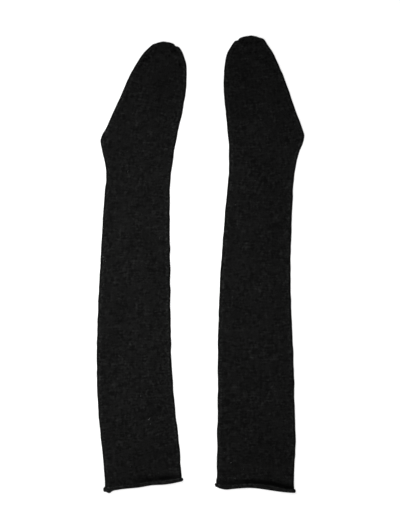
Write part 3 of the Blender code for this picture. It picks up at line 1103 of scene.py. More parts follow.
    def shell(self, shift: np.ndarray, material: bpy.types.Material) -> bpy.types.Object:
        """The closed knitted shell.

        Args:
            shift: What is taken off the maker's x and y.
            material: The jersey.

        Returns:
            The shell, in place.
        """
        bands = self.bands()
        grid = np.concatenate([band.points for band in bands])
        grid[..., :2] -= shift
        rows, count = grid.shape[:2]
        wale = np.concatenate([band.wale for band in bands])
        course = np.concatenate([band.course for band in bands])
        index = np.arange(rows * count).reshape(rows, count)
        beside = np.roll(index, -1, axis=1)
        quads = np.stack([index[:-1], index[1:], beside[1:], beside[:-1]], axis=-1).reshape(-1, 4)
        course = np.concatenate([course, course[:, :1]], axis=1)
        stitch = np.stack([wale, course], axis=-1)
        corners = [stitch[:-1, :-1], stitch[1:, :-1], stitch[1:, 1:], stitch[:-1, 1:]]
        uv = np.stack(corners, axis=2).reshape(-1, 2)
        ends = [index[0], index[-1][::-1]]
        uv = np.concatenate([uv, stitch[0, :-1], stitch[-1, :-1][::-1]])
        faces = quads.tolist() + [end.tolist() for end in ends]
        mesh = bpy.data.meshes.new(self.tables.name + "_knit")
        mesh.from_pydata((grid.reshape(-1, 3) * MM).tolist(), [], faces)
        mesh.uv_layers.new(name="stitches").data.foreach_set("uv", uv.astype(np.float32).ravel())
        for name in ("purl", "nap", "rim", "tone", "hair"):
            values = np.concatenate([getattr(band, name) for band in bands]).astype(np.float32)
            mesh.attributes.new(name, "FLOAT", "POINT").data.foreach_set("value", values.ravel())
        mesh.materials.append(material)
        mesh.shade_smooth()
        return placed(self.tables.name + "_knit", mesh)


SEEN_FROM = 0.05


def placed(name: str, data: bpy.types.ID) -> bpy.types.Object:
    """A new object, in the scene.

    Args:
        name: Its name.
        data: The mesh, curve, light or camera that it shows.

    Returns:
        The object.
    """
    thing = bpy.data.objects.new(name, data)
    bpy.context.scene.collection.objects.link(thing)
    return thing


def on_cloth(shell: bpy.types.Object, spots: np.ndarray, above: float) -> np.ndarray:
    """Drops points onto the upper cloth.

    Args:
        shell: The shell.
        spots: x and y of each point, in metres.
        above: How far over the cloth they lie, in metres.

    Returns:
        The points, with their heights.
    """
    found = []
    for x, y in spots:
        hit, place, _, _ = shell.ray_cast((float(x), float(y), SEEN_FROM), (0.0, 0.0, -1.0))
        found.append((float(x), float(y), (place.z if hit else 0.0) + above))
    return np.array(found)


class NodeGraph:
    """Adds and links the nodes of one tree."""

    def __init__(self, tree: bpy.types.NodeTree) -> None:
        """Takes the tree.

        Args:
            tree: A shader or geometry tree.
        """
        self.tree = tree

    def add(
        self, kind: str, inputs: dict[str | int, object] | None = None, **settings: object
    ) -> bpy.types.Node:
        """A new node.

        Args:
            kind: The node's type.
            inputs: What its inputs are fed, each by its name or place.
            settings: The node's own settings, which are made first.

        Returns:
            The node.
        """
        node = self.tree.nodes.new(kind)
        for name, value in settings.items():
            setattr(node, name, value)
        self.fill(node, inputs or {})
        return node

    def fill(self, node: bpy.types.Node, inputs: dict[str | int, object]) -> None:
        """Feeds a node's inputs, each by its name or place."""
        for name, value in inputs.items():
            self.feed(node.inputs[name], value)

    def feed(self, socket: Socket, value: object) -> None:
        """Links a socket to another node's output, or sets its constant.

        Args:
            socket: The input.
            value: A node's output, or a constant.
        """
        if isinstance(value, Socket):
            self.tree.links.new(value, socket)
        else:
            socket.default_value = value

    def math(self, operation: str, *values: object) -> Socket:
        """The result of a Math node on outputs or numbers."""
        return self.add("ShaderNodeMath", dict(enumerate(values)), operation=operation).outputs[0]

    def sum(self, *values: object) -> Socket:
        """Adds several outputs or numbers.

        Args:
            values: What is added.

        Returns:
            The sum.
        """
        total = values[0]
        for value in values[1:]:
            total = self.math("ADD", total, value)
        return total

    def swing(self, value: object, amount: float) -> Socket:
        """A noise output about a half, turned into a swing about zero of the given amount."""
        return self.math("MULTIPLY", self.math("SUBTRACT", value, 0.5), 2.0 * amount)

    def place(self) -> Socket:
        """Where a point lies in its object, in metres."""
        return self.add("ShaderNodeTexCoord").outputs["Object"]

    def noise(self, vector: Socket, scale: float = 1.0, detail: float = 2.0) -> Socket:
        """A noise texture's value on a vector."""
        inputs = {"Vector": vector, "Scale": scale, "Detail": detail}
        return self.add("ShaderNodeTexNoise", inputs).outputs["Fac"]

    def stretched(self, vector: Socket, scale: Triple) -> Socket:
        """A vector scaled by a Mapping node."""
        return self.add("ShaderNodeMapping", {"Vector": vector, "Scale": scale}).outputs["Vector"]


def new_material(name: str) -> tuple[bpy.types.Material, NodeGraph, bpy.types.Node]:
    """A new material.

    Args:
        name: Its name.

    Returns:
        The material, its graph and its shader.
    """
    material = bpy.data.materials.new(name)
    material.use_nodes = True
    return material, NodeGraph(material.node_tree), material.node_tree.nodes["Principled BSDF"]


@dataclass(frozen=True)
class JerseyFinish:
    """Fine black jersey: V stitches outside, purl ridges inside, a yarn that takes the dye unevenly,
    painted shade in the gaps between stitches and painted glints along the edges.
    """

    name: str
    colour: float
    tint: Triple = (1.0, 1.03, 1.0)
    roughness: float = 0.94
    sheen: float = 0.04
    sheen_roughness: float = 0.5
    specular: float = 0.02
    bump_depth: float = 0.0006
    bump_strength: float = 0.9
    yarn_shine: float = 0.06
    leg_slope: float = 1.15
    leg_round: float = 0.7
    leg_floor: float = 0.4
    ridge_weave: float = 0.14
    fuzz_grain: float = 1500.0
    fuzz_height: float = 0.3
    # painted shade in the gaps between stitches and a painted highlight on the yarn's tops
    gap_painted_shade: float = 0.45
    yarn_painted_highlight: float = 0.7
    stitch_swing: float = 0.2
    course_swing: float = 0.85
    wale_swing: float = 0.85
    patch_swing: float = 0.82
    cloud_swing: float = 0.3
    # strength of the painted glints along the long edges
    edge_painted_glints: float = 4.0
    least_tone: float = 0.58
    worn_slope: float = 5.0
    worn_from: float = -1.4
    least_worn: float = 0.25
    most_worn: float = 2.0
    course_strokes: Triple = (0.1, 0.3, 1.0)
    wale_strokes: Triple = (0.26, 0.08, 1.0)
    patch_grain: float = 230.0
    cloud_grain: float = 22.0
    worn_grain: float = 75.0
    speckle_grain: float = 320.0

    def material(self) -> bpy.types.Material:
        """Builds the jersey's nodes.

        Returns:
            The material.
        """
        material, graph, shader = new_material(self.name)
        marks = {name: self.mark(graph, name) for name in ("purl", "rim", "tone")}
        height = self.stitch_height(graph, marks["purl"])
        tone = self.tone(graph, height, marks)
        # Base colour: the dye scaled by a factor that holds painted shade and painted light.
        colour_and_painted_light = {0: tuple(self.colour * part for part in self.tint), "Scale": tone}
        relief = {"Height": height, "Strength": self.bump_strength, "Distance": self.bump_depth}
        rough = graph.math("MULTIPLY_ADD", height, -self.yarn_shine, self.roughness + self.yarn_shine)
        look = {
            "Base Color": graph.add("ShaderNodeVectorMath", colour_and_painted_light, operation="SCALE").outputs[0],
            "Roughness": rough,
            "Specular IOR Level": self.specular,
            "Sheen Weight": graph.math("MULTIPLY", tone, self.sheen),
            "Sheen Roughness": self.sheen_roughness,
            "Normal": graph.add("ShaderNodeBump", relief).outputs["Normal"],
        }
        graph.fill(shader, look)
        return material

    def mark(self, graph: NodeGraph, name: str) -> Socket:
        """The value of one of the shell's own attributes."""
        return graph.add("ShaderNodeAttribute", attribute_name=name).outputs["Fac"]

    def stitch_uv(self, graph: NodeGraph) -> tuple[Socket, ...]:
        """Reads the stitch coordinates.

        Args:
            graph: The material's tree.

        Returns:
            The coordinates as a vector, the wale and the course.
        """
        uv = graph.add("ShaderNodeUVMap", uv_map="stitches").outputs["UV"]
        split = graph.add("ShaderNodeSeparateXYZ", {0: uv}).outputs
        return uv, split["X"], split["Y"]

    def stitch_height(self, graph: NodeGraph, purl: Socket) -> Socket:
        """The relief of one stitch, from 0 in its gaps to 1 on the yarn.

        Args:
            graph: The material's tree.
            purl: The share of the purl side.

        Returns:
            The height.
        """
        _, wale, course = self.stitch_uv(graph)
        off_middle = graph.math("ABSOLUTE", graph.math("SUBTRACT", graph.math("FRACT", wale), 0.5))
        across = graph.math("SINE", graph.math("MULTIPLY", off_middle, FULL_TURN))
        leaning = graph.math("SUBTRACT", course, graph.math("MULTIPLY", off_middle, self.leg_slope))
        along = graph.math("SINE", graph.math("MULTIPLY", graph.math("FRACT", leaning), math.pi))
        round_leg = graph.math("POWER", across, self.leg_round)
        legs = graph.math("MULTIPLY_ADD", along, 1.0 - self.leg_floor, self.leg_floor)
        legs = graph.math("MULTIPLY", round_leg, legs)
        weave = graph.math("COSINE", graph.math("MULTIPLY", wale, FULL_TURN))
        waved = graph.math("MULTIPLY_ADD", weave, self.ridge_weave, course)
        ridges = graph.math("SINE", graph.math("MULTIPLY", graph.math("FRACT", waved), math.pi))
        sides = {"Factor": purl, "A": legs, "B": ridges}
        fuzz = graph.swing(graph.noise(graph.place(), self.fuzz_grain, detail=3.0), self.fuzz_height)
        return graph.math("ADD", graph.add("ShaderNodeMix", sides).outputs["Result"], fuzz)

    def tone(self, graph: NodeGraph, height: Socket, marks: dict[str, Socket]) -> Socket:
        """The colour's factor at each point, about 1: the yarn's uneven dye, with painted shade and painted
        light.

        Args:
            graph: The material's tree.
            height: The stitch's relief.
            marks: The shell's own attributes.

        Returns:
            The factor for the colour.
        """
        uv, wale, course = self.stitch_uv(graph)
        corner = {"X": graph.math("FLOOR", wale), "Y": graph.math("FLOOR", course)}
        cell = {"Vector": graph.add("ShaderNodeCombineXYZ", corner).outputs[0]}
        stitch = graph.add("ShaderNodeTexWhiteNoise", cell, noise_dimensions="2D")
        place = graph.place()
        courses = graph.noise(graph.stretched(uv, self.course_strokes))
        wales = graph.noise(graph.stretched(uv, self.wale_strokes))
        patches = graph.noise(place, self.patch_grain)
        clouds = graph.noise(place, self.cloud_grain)
        worn = graph.noise(place, self.worn_grain, detail=1.0)
        worn = graph.math("MULTIPLY_ADD", worn, self.worn_slope, self.worn_from)
        worn = graph.math("MINIMUM", graph.math("MAXIMUM", worn, self.least_worn), self.most_worn)
        strokes = graph.sum(
            graph.swing(courses, self.course_swing),
            graph.swing(wales, self.wale_swing),
            graph.swing(patches, self.patch_swing),
        )
        # Painted glints: light specks in the band just inside the long edges.
        painted_glint = graph.swing(graph.noise(place, self.speckle_grain, detail=1.0), 1.0)
        painted_glint = graph.math("MAXIMUM", painted_glint, 0.0)
        varied = graph.sum(
            1.0,
            graph.swing(stitch.outputs["Value"], self.stitch_swing),
            graph.math("MULTIPLY", strokes, worn),
            graph.swing(clouds, self.cloud_swing),
            graph.math("MULTIPLY", graph.math("MULTIPLY", marks["rim"], painted_glint), self.edge_painted_glints),
        )
        # Painted shade in the gaps between stitches and a painted highlight on the yarn's tops.
        stitch_painted_shade = graph.math("MULTIPLY_ADD", height, self.yarn_painted_highlight, self.gap_painted_shade)
        kept = graph.math("MAXIMUM", varied, self.least_tone)
        return graph.math("MULTIPLY", graph.math("MULTIPLY", kept, stitch_painted_shade), marks["tone"])


@dataclass(frozen=True)
class FibreFinish:
    """Loose fibres, pills or lint: a plain matt colour with a slow change along and between them."""

    name: str
    colour: float
    swing: float = 0.35
    grain: float = 420.0
    roughness: float = 0.85
    roughness_swing: float = 0.05
    sheen: float = 0.04
    specular: float = 0.03

    def material(self) -> bpy.types.Material:
        """Builds the fibre's nodes.

        Returns:
            The material.
        """
        material, graph, shader = new_material(self.name)
        varied = graph.sum(1.0, graph.swing(graph.noise(graph.place(), self.grain), self.swing))
        look = {
            "Base Color": graph.math("MULTIPLY", varied, self.colour),
            "Roughness": graph.math("MULTIPLY_ADD", varied, self.roughness_swing, self.roughness),
            "Specular IOR Level": self.specular,
            "Sheen Weight": self.sheen,
        }
        graph.fill(shader, look)
        return material


JERSEY = JerseyFinish(name="black_jersey_knit", colour=0.0046)
FIBRE = FibreFinish(name="black_wool_fibre", colour=0.0075)
SEAM_YARN = FibreFinish(name="black_seam_yarn", colour=0.0024, sheen=0.01)
PALE_LINT = FibreFinish(name="grey_lint", colour=0.085, swing=0.9)


@dataclass(frozen=True)
class Strand:
    """A bent fibre from the origin, by its middle and its end, in millimetres."""

    middle: Triple
    end: Triple


NAP_STRANDS = (
    Strand(middle=(0.25, 0.0, 0.65), end=(0.95, 0.15, 1.0)),
    Strand(middle=(-0.1, 0.35, 0.55), end=(0.5, 0.95, 0.65)),
    Strand(middle=(0.55, -0.1, 0.35), end=(1.35, -0.3, 0.3)),
)
LINT_STRANDS = (
    Strand(middle=(1.3, 1.0, 0.5), end=(2.9, -0.3, 0.1)),
    Strand(middle=(0.9, -0.7, 0.3), end=(1.6, 0.7, 0.2)),
)


class GeometryTree:
    """A Geometry Nodes tree with named sizes, whose result is kept as a plain mesh."""

    STRAND_STEPS = 3
    STRAND_SIDES = 3

    def __init__(self, name: str, material: bpy.types.Material) -> None:
        """Starts the tree.

        Args:
            name: The tree's name.
            material: What its result is dressed in.
        """
        self.tree = bpy.data.node_groups.new(name, "GeometryNodeTree")
        self.graph = NodeGraph(self.tree)
        self.material = material
        self.values: dict[str, object] = {}
        for way in ("INPUT", "OUTPUT"):
            self.tree.interface.new_socket("Geometry", in_out=way, socket_type="NodeSocketGeometry")
        self.entry = self.graph.add("NodeGroupInput")

    def size(self, name: str, value: float) -> Socket:
        """Adds a named number to the tree.

        Args:
            name: Its name.
            value: What this object's modifier gives it.

        Returns:
            The number.
        """
        socket = self.tree.interface.new_socket(name, in_out="INPUT", socket_type="NodeSocketFloat")
        self.values[socket.identifier] = value
        return self.entry.outputs[name]

    def mark(self, name: str) -> Socket:
        """One of the host's own attributes."""
        node = self.graph.add("GeometryNodeInputNamedAttribute", {"Name": name}, data_type="FLOAT")
        return node.outputs["Attribute"]

    def drawn(self, low: object, high: object, seed: int, kind: str = "FLOAT") -> Socket:
        """A number drawn for each point, from a fixed seed."""
        inputs = {"Min": low, "Max": high, "Seed": seed}
        return self.graph.add("FunctionNodeRandomValue", inputs, data_type=kind).outputs["Value"]

    def scattered(self, density: Socket, seed: int) -> tuple[Socket, Socket]:
        """Scatters points over the host's faces.

        Args:
            density: Points per square metre.
            seed: The seed of their places. The next one is the spin's.

        Returns:
            The points, and their rotations, each spun at random.
        """
        inputs = {"Mesh": self.entry.outputs["Geometry"], "Density": density, "Seed": seed}
        made = self.graph.add("GeometryNodeDistributePointsOnFaces", inputs, distribute_method="RANDOM")
        spun = self.turned(made.outputs["Rotation"], "Z", self.drawn(0.0, FULL_TURN, seed + 1))
        return made.outputs["Points"], spun

    def turned(self, rotation: Socket, axis: str, angle: object) -> Socket:
        """Turns a rotation about one of its own axes.

        Args:
            rotation: The rotation.
            axis: X, Y or Z.
            angle: By how much, in radians.

        Returns:
            The turned rotation.
        """
        euler = self.graph.add("ShaderNodeCombineXYZ", {axis: angle})
        made = self.graph.add("FunctionNodeEulerToRotation", {0: euler.outputs[0]})
        inputs = {0: rotation, 1: made.outputs[0]}
        return self.graph.add("FunctionNodeRotateRotation", inputs, rotation_space="LOCAL").outputs[0]

    def strand(self, shape: Strand, thickness: Socket, taper: float) -> Socket:
        """A three-sided tube along a bent fibre, thinner towards its end.

        Args:
            shape: The fibre's middle and end.
            thickness: Its radius at the root.
            taper: How much of the radius is gone at its end.

        Returns:
            The strand's mesh.
        """
        bent = {
            "Resolution": self.STRAND_STEPS,
            "Start": (0.0, 0.0, 0.0),
            "Middle": tuple(value * MM for value in shape.middle),
            "End": tuple(value * MM for value in shape.end),
        }
        line = self.graph.add("GeometryNodeCurveQuadraticBezier", bent).outputs[0]
        along = self.graph.add("GeometryNodeSplineParameter").outputs["Factor"]
        left = self.graph.math("MULTIPLY_ADD", along, -taper, 1.0)
        return self.tube(line, thickness, self.STRAND_SIDES, left)

    def tube(self, line: Socket, radius: Socket, sides: int, scale: Socket | float = 1.0) -> Socket:
        """A closed tube along a line.

        Args:
            line: The curve.
            radius: The tube's radius.
            sides: How many sides it has.
            scale: What its radius is scaled by at each point.

        Returns:
            The tube's mesh.
        """
        around = self.graph.add("GeometryNodeCurvePrimitiveCircle", {"Resolution": sides, "Radius": radius})
        inputs = {"Curve": line, "Profile Curve": around.outputs[0], "Scale": scale, "Fill Caps": True}
        return self.graph.add("GeometryNodeCurveToMesh", inputs).outputs[0]

    def chosen(self, shapes: list[Socket]) -> Socket:
        """Gathers several shapes as instances to pick from.

        Args:
            shapes: The shapes.

        Returns:
            The instances.
        """
        node = self.graph.add("GeometryNodeGeometryToInstance")
        for shape in shapes:
            self.graph.feed(node.inputs[0], shape)
        return node.outputs[0]

    def real(self, instances: Socket) -> Socket:
        """Instances turned into plain geometry."""
        return self.graph.add("GeometryNodeRealizeInstances", {0: instances}).outputs[0]

    def finish(self, instances: Socket) -> None:
        """Ends the tree in Realize Instances and Set Material.

        Args:
            instances: What the tree has made.
        """
        inputs = {"Geometry": self.real(instances), "Material": self.material}
        dressed = self.graph.add("GeometryNodeSetMaterial", inputs).outputs[0]
        self.graph.add("NodeGroupOutput", {0: dressed})

    def kept(self, host: bpy.types.ID, name: str) -> bpy.types.Object:
        """The tree's result on a mesh or curve, as a plain mesh object.

        Args:
            host: The mesh or curve data that the tree works on.
            name: The new object's name.

        Returns:
            The object, in place.
        """
        source = placed(name + "_source", host)
        modifier = source.modifiers.new(name, "NODES")
        modifier.node_group = self.tree
        for identifier, value in self.values.items():
            modifier[identifier] = value
        graph = bpy.context.evaluated_depsgraph_get()
        mesh = bpy.data.meshes.new_from_object(source.evaluated_get(graph))
        bpy.data.objects.remove(source)
        mesh.name = name
        mesh.materials.clear()
        mesh.materials.append(self.material)
        points = np.zeros((len(mesh.vertices), 3), np.float32)
        mesh.vertices.foreach_get("co", points.ravel())
        points[:, 2] = np.maximum(points[:, 2], 0.0)
        mesh.vertices.foreach_set("co", points.ravel())
        return placed(name, mesh)


@dataclass(frozen=True)
class Fuzz:
    """Loose fibres scattered over a sock's upper cloth, thicker along its brushed edges."""

    name: str
    strands: tuple[Strand, ...]
    per_area: float
    edge_more: float
    thickness: float
    taper: float
    least_scale: float
    most_scale: float
    tilt_deg: float
    seed: int

    def grow(self, shell: bpy.types.Object, name: str, material: bpy.types.Material) -> bpy.types.Object:
        """The fibres on a shell.

        Args:
            shell: The knitted shell that they grow on.
            name: The new piece's name.
            material: The fibres' finish.

        Returns:
            The fibres as one mesh.
        """
        tree = GeometryTree(self.name, material)
        graph = tree.graph
        density = tree.size("Fibres per square metre", self.per_area)
        more = tree.size("More at edges", self.edge_more)
        thickness = tree.size("Thickness", self.thickness * MM)
        least, most = tree.size("Least scale", self.least_scale), tree.size("Most scale", self.most_scale)
        tilt = tree.size("Tilt", math.radians(self.tilt_deg))
        at_edges = graph.math("MULTIPLY_ADD", tree.mark("nap"), more, 1.0)
        growth = graph.math("MULTIPLY", graph.math("MULTIPLY", tree.mark("hair"), at_edges), density)
        points, spun = tree.scattered(growth, self.seed)
        back = graph.math("MULTIPLY", tilt, -1.0)
        grown = {
            "Points": points,
            "Instance": tree.chosen([tree.strand(shape, thickness, self.taper) for shape in self.strands]),
            "Pick Instance": True,
            "Instance Index": tree.drawn(0, len(self.strands) - 1, self.seed + 3, kind="INT"),
            "Rotation": tree.turned(spun, "X", tree.drawn(back, tilt, self.seed + 2)),
            "Scale": tree.drawn(least, most, self.seed + 4),
        }
        tree.finish(graph.add("GeometryNodeInstanceOnPoints", grown).outputs[0])
        return tree.kept(shell.data, name)


NAP = Fuzz(
    name="nap",
    strands=NAP_STRANDS,
    per_area=34000.0,
    edge_more=7.0,
    thickness=0.035,
    taper=0.75,
    least_scale=0.55,
    most_scale=1.35,
    tilt_deg=48.0,
    seed=5,
)
LINT = Fuzz(
    name="lint",
    strands=LINT_STRANDS,
    per_area=520.0,
    edge_more=0.6,
    thickness=0.07,
    taper=0.4,
    least_scale=0.5,
    most_scale=1.2,
    tilt_deg=14.0,
    seed=9,
)


@dataclass(frozen=True)
class Pills:
    """Small felted balls where the cloth has rubbed."""

    per_area: float = 900.0
    radius: float = 0.32
    long: tuple[float, float] = (0.6, 1.7)
    wide: tuple[float, float] = (0.6, 1.2)
    squash: float = 0.62
    subdivisions: int = 2
    lump: float = 0.22
    lump_grain: float = 1800.0
    seed: int = 31

    def grow(self, shell: bpy.types.Object, name: str, material: bpy.types.Material) -> bpy.types.Object:
        """The pills on a shell.

        Args:
            shell: The knitted shell that they lie on.
            name: The new piece's name.
            material: The pills' finish.

        Returns:
            The pills as one mesh.
        """
        tree = GeometryTree("pills", material)
        graph = tree.graph
        density = tree.size("Pills per square metre", self.per_area)
        radius = tree.size("Radius", self.radius * MM)
        points, spun = tree.scattered(graph.math("MULTIPLY", tree.mark("hair"), density), self.seed)
        ball = {"Radius": radius, "Subdivisions": self.subdivisions}
        sizes = {
            "X": tree.drawn(*self.long, self.seed + 2),
            "Y": tree.drawn(*self.wide, self.seed + 3),
            "Z": self.squash,
        }
        rolled = {
            "Points": points,
            "Instance": graph.add("GeometryNodeMeshIcoSphere", ball).outputs["Mesh"],
            "Rotation": spun,
            "Scale": graph.add("ShaderNodeCombineXYZ", sizes).outputs[0],
        }
        balls = tree.real(graph.add("GeometryNodeInstanceOnPoints", rolled).outputs[0])
        noise = {"Scale": self.lump_grain}
        lump = graph.add("ShaderNodeTexNoise", noise, noise_dimensions="3D").outputs["Color"]
        middle = graph.add("ShaderNodeVectorMath", {0: lump, 1: (0.5, 0.5, 0.5)}, operation="SUBTRACT")
        swing = {0: middle.outputs[0], "Scale": 2.0 * self.lump * MM}
        push = graph.add("ShaderNodeVectorMath", swing, operation="SCALE").outputs[0]
        tree.finish(graph.add("GeometryNodeSetPosition", {"Geometry": balls, "Offset": push}).outputs[0])
        return tree.kept(shell.data, name)


def line_data(name: str, lines: list[tuple[np.ndarray, np.ndarray]]) -> bpy.types.Curve:
    """Straight-stepped lines as curve data.

    Args:
        name: The data's name.
        lines: The points of each line, in metres, and its radius at each of them.

    Returns:
        The curve data.
    """
    data = bpy.data.curves.new(name, "CURVE")
    data.dimensions = "3D"
    for path, radii in lines:
        spline = data.splines.new("POLY")
        spline.points.add(len(path) - 1)
        for point, place, radius in zip(spline.points, path, radii):
            point.co = (*place, 1.0)
            point.radius = radius
    return data


@dataclass(frozen=True)
class Linking:
    """The toe's closing seam: a row of small yarn loops over a line on the upper cloth."""

    spacing: float = 1.45
    loop_length: float = 1.9
    loop_width: float = 1.0
    yarn: float = 0.2
    loop_points: int = 10
    yarn_sides: int = 5
    lean: tuple[float, float] = (0.25, 0.6)
    scale: tuple[float, float] = (0.8, 1.1)
    path_points: int = 40
    lift: float = 0.1
    seed: int = 3

    def path(self, shell: bpy.types.Object, spots: tuple[Spot, ...], shift: np.ndarray) -> np.ndarray:
        """The seam's line on the upper cloth.

        Args:
            shell: The knitted shell.
            spots: Points of the line, in the maker's frame.
            shift: What is taken off the maker's x and y.

        Returns:
            Points close together, in metres.
        """
        places = np.linspace(0.0, len(spots) - 1.0, self.path_points)
        line = curve_through(np.arange(len(spots)), [[spot.x, spot.y] for spot in spots], places)
        return on_cloth(shell, (line - shift) * MM, self.lift * MM)

    def sew(self, path: np.ndarray, name: str, material: bpy.types.Material) -> bpy.types.Object:
        """The loops along a path.

        Args:
            path: Points on the cloth, in metres.
            name: The new piece's name.
            material: The yarn's finish.

        Returns:
            The loops as one mesh.
        """
        line = line_data(name + "_line", [(path, np.ones(len(path)))])
        tree = GeometryTree("linking", material)
        graph = tree.graph
        spacing = tree.size("Spacing", self.spacing * MM)
        yarn = tree.size("Yarn", self.yarn * MM)
        spaced = {"Curve": tree.entry.outputs["Geometry"], "Length": spacing}
        points = graph.add("GeometryNodeCurveToPoints", spaced, mode="LENGTH").outputs
        circle = {"Resolution": self.loop_points, "Radius": 0.5 * MM}
        shape = {
            "Geometry": graph.add("GeometryNodeCurvePrimitiveCircle", circle).outputs[0],
            "Scale": (self.loop_length, self.loop_width, 1.0),
        }
        loop = graph.add("GeometryNodeTransform", shape).outputs[0]
        aim = graph.add("FunctionNodeAlignRotationToVector", {"Vector": points["Tangent"]}, axis="Y")
        sewn = {
            "Points": points["Points"],
            "Instance": tree.tube(loop, yarn, self.yarn_sides),
            "Rotation": tree.turned(aim.outputs[0], "Z", tree.drawn(*self.lean, self.seed)),
            "Scale": tree.drawn(*self.scale, self.seed + 1),
        }
        tree.finish(graph.add("GeometryNodeInstanceOnPoints", sewn).outputs[0])
        kept = tree.kept(line, name)
        bpy.data.curves.remove(line)
        return kept


@dataclass(frozen=True)
class FleckThreads:
    """The pale bits of lint that the photograph shows, as bent threads on the cloth."""

    points: int = 7
    lift: float = 0.25
    arch: float = 0.5
    end_share: float = 0.3
    sides: int = 6

    def lay(
        self,
        shell: bpy.types.Object,
        flecks: tuple[Fleck, ...],
        shift: np.ndarray,
        material: bpy.types.Material,
    ) -> bpy.types.Object:
        """The threads on a shell.

        Args:
            shell: The knitted shell.
            flecks: Where they lie, in the maker's frame.
            shift: What is taken off the maker's x and y.
            material: The lint's finish.

        Returns:
            The threads as one mesh.
        """
        name = shell.name.replace("_knit", "_flecks")
        share = np.linspace(-1.0, 1.0, self.points)
        threads = []
        for fleck in flecks:
            turn = math.radians(fleck.turn_deg)
            along = np.array([math.cos(turn), math.sin(turn)])
            side = np.array([-along[1], along[0]])
            bend = fleck.bow * (1.0 - share**2)[:, None] * side
            spots = np.array([fleck.x, fleck.y]) + share[:, None] * fleck.length / 2.0 * along + bend - shift
            path = on_cloth(shell, spots * MM, self.lift * MM)
            path[:, 2] += self.arch * MM * (1.0 - share**2)
            threads.append((path, fleck.thickness / 2.0 * (1.0 - (1.0 - self.end_share) * share**2)))
        lines = line_data(name + "_lines", threads)
        tree = GeometryTree("flecks", material)
        unit = tree.size("Unit radius", MM)
        radius = tree.graph.add("GeometryNodeInputRadius").outputs[0]
        tree.finish(tree.tube(tree.entry.outputs["Geometry"], unit, self.sides, radius))
        kept = tree.kept(lines, name)
        bpy.data.curves.remove(lines)
        return kept


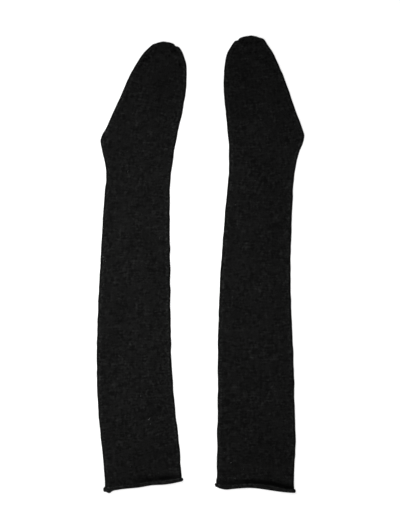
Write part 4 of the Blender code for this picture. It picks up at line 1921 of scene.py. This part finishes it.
@dataclass(frozen=True)
class Studio:
    """A plain pale floor, soft light from the left and a camera straight above."""

    WHITE: ClassVar[tuple[float, ...]] = (1.0, 1.0, 1.0, 1.0)

    floor_size: float = 14.0
    floor_grey: float = 0.35
    floor_glow: float = 0.72
    floor_drop: float = 0.00015
    floor_grain: float = 260.0
    floor_swing: float = 0.01
    floor_roughness: float = 0.9
    floor_specular: float = 0.1
    floor_parts: int = 8
    sky_low: float = 1.0
    sky_high: float = 0.34
    sky_fall: float = 4.0
    key_watts: float = 7.8
    key_size: float = 0.5
    key_place: Triple = (-0.23, -0.01, 0.66)
    low_watts: float = 12.0
    low_size: float = 0.3
    low_place: Triple = (-0.8, -1.9, 0.5)
    lens: float = 85.0
    sensor: float = 36.0
    frame_pixels: float = 528.0
    pixel_mm: float = 1.8
    middle_x_mm: float = -0.9
    focus_height_mm: float = 4.0
    far_clip: float = 50.0

    def floor(self) -> bpy.types.Object:
        """Builds the floor, which glows a little, as a paper sheet lit from all sides does.

        Returns:
            The floor.
        """
        mesh = bpy.data.meshes.new("floor")
        build = bmesh.new()
        parts = self.floor_parts
        bmesh.ops.create_grid(build, x_segments=parts, y_segments=parts, size=self.floor_size / 2.0)
        bmesh.ops.translate(build, verts=build.verts, vec=(0.0, 0.0, -self.floor_drop))
        build.to_mesh(mesh)
        build.free()
        material, graph, shader = new_material("floor_paper")
        grain = graph.swing(graph.noise(graph.place(), self.floor_grain, detail=3.0), self.floor_swing)
        look = {
            "Base Color": graph.sum(self.floor_grey, grain),
            "Roughness": self.floor_roughness,
            "Specular IOR Level": self.floor_specular,
            "Emission Color": self.WHITE,
            "Emission Strength": self.floor_glow,
        }
        graph.fill(shader, look)
        mesh.materials.append(material)
        return placed("floor", mesh)

    def sky(self) -> None:
        """Even light from all round, whitest at the horizon."""
        world = bpy.data.worlds.new("studio")
        world.use_nodes = True
        graph = NodeGraph(world.node_tree)
        heading = graph.add("ShaderNodeTexCoord").outputs["Generated"]
        climb = graph.add("ShaderNodeSeparateXYZ", {0: heading}).outputs["Z"]
        low = graph.math("SUBTRACT", 1.0, graph.math("MAXIMUM", climb, 0.0))
        share = graph.math("POWER", low, self.sky_fall)
        light = graph.math("MULTIPLY_ADD", share, self.sky_low - self.sky_high, self.sky_high)
        graph.fill(world.node_tree.nodes["Background"], {"Strength": light, "Color": self.WHITE})
        bpy.context.scene.world = world

    def lamp(self, name: str, watts: float, size: float, place: Triple) -> bpy.types.Object:
        """A round soft light that the camera doesn't see, aimed at the middle of the floor.

        Args:
            name: Its name.
            watts: Its power.
            size: Its diameter.
            place: Where it hangs.

        Returns:
            The light.
        """
        light = bpy.data.lights.new(name, "AREA")
        light.shape = "DISK"
        light.size = size
        light.energy = watts
        lamp = placed(name, light)
        lamp.location = place
        lamp.rotation_mode = "QUATERNION"
        lamp.rotation_quaternion = (-lamp.location).to_track_quat("-Z", "Y")
        lamp.visible_camera = False
        return lamp

    def camera(self) -> bpy.types.Object:
        """Places the camera straight above, at the photograph's scale.

        Returns:
            The camera.
        """
        lens = bpy.data.cameras.new("camera")
        lens.type = "PERSP"
        lens.lens = self.lens
        lens.sensor_width = self.sensor
        lens.clip_end = self.far_clip
        camera = placed("camera", lens)
        distance = self.frame_pixels * self.pixel_mm * self.lens / self.sensor + self.focus_height_mm
        camera.location = (self.middle_x_mm * MM, 0.0, distance * MM)
        bpy.context.scene.camera = camera
        return camera


def alignment(left: Sock, right: Sock) -> np.ndarray:
    """Where the solids' frame lies in the maker's frame, from the outer edges and the right toe's tip.

    Args:
        left: The left sock.
        right: The right sock.

    Returns:
        The x and y, in millimetres, that are taken off the maker's.
    """
    low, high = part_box(left.tables.name)[0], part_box(right.tables.name)[1]
    solid_middle = (low.x + high.x) / 2.0 / MM
    edge_middle = (left.form.outer_edge() + right.form.outer_edge()) / 2.0
    return np.array([edge_middle - solid_middle, right.form.toe_tip() - high.y / MM])


def main() -> None:
    """Builds the socks, the floor, the light and the camera."""
    logging.basicConfig(level=logging.INFO, format="%(name)s: %(message)s")
    bpy.context.scene.view_settings.view_transform = "Standard"
    studio = Studio()
    studio.camera()
    studio.sky()
    studio.lamp("key", studio.key_watts, studio.key_size, studio.key_place)
    studio.lamp("low", studio.low_watts, studio.low_size, studio.low_place)
    floor = studio.floor()
    ring, plan, roll = Ring(), ShellPlan(), CuffRoll()
    left, right = Sock(LEFT, ring, plan, roll), Sock(RIGHT, ring, plan, roll)
    shift = alignment(left, right)
    log.info("frame shift %s mm", shift)
    jersey, fibre, seam_yarn, pale = (look.material() for look in (JERSEY, FIBRE, SEAM_YARN, PALE_LINT))
    for sock in (left, right):
        name = sock.tables.name
        shell = sock.shell(shift, jersey)
        bpy.context.view_layer.update()
        linking = Linking()
        seam = linking.path(shell, sock.tables.linking, shift)
        pieces = [
            NAP.grow(shell, name + "_nap", fibre),
            LINT.grow(shell, name + "_lint", pale),
            Pills().grow(shell, name + "_pills", fibre),
            FleckThreads().lay(shell, sock.tables.lint, shift, pale),
            linking.sew(seam, name + "_toe_linking", seam_yarn),
        ]
        for piece in [shell] + pieces:
            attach(piece, ROOT_BODY)
            log.info("%s: %d faces", piece.name, len(piece.data.polygons))
        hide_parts(name)


if __name__ == "__main__":
    main()
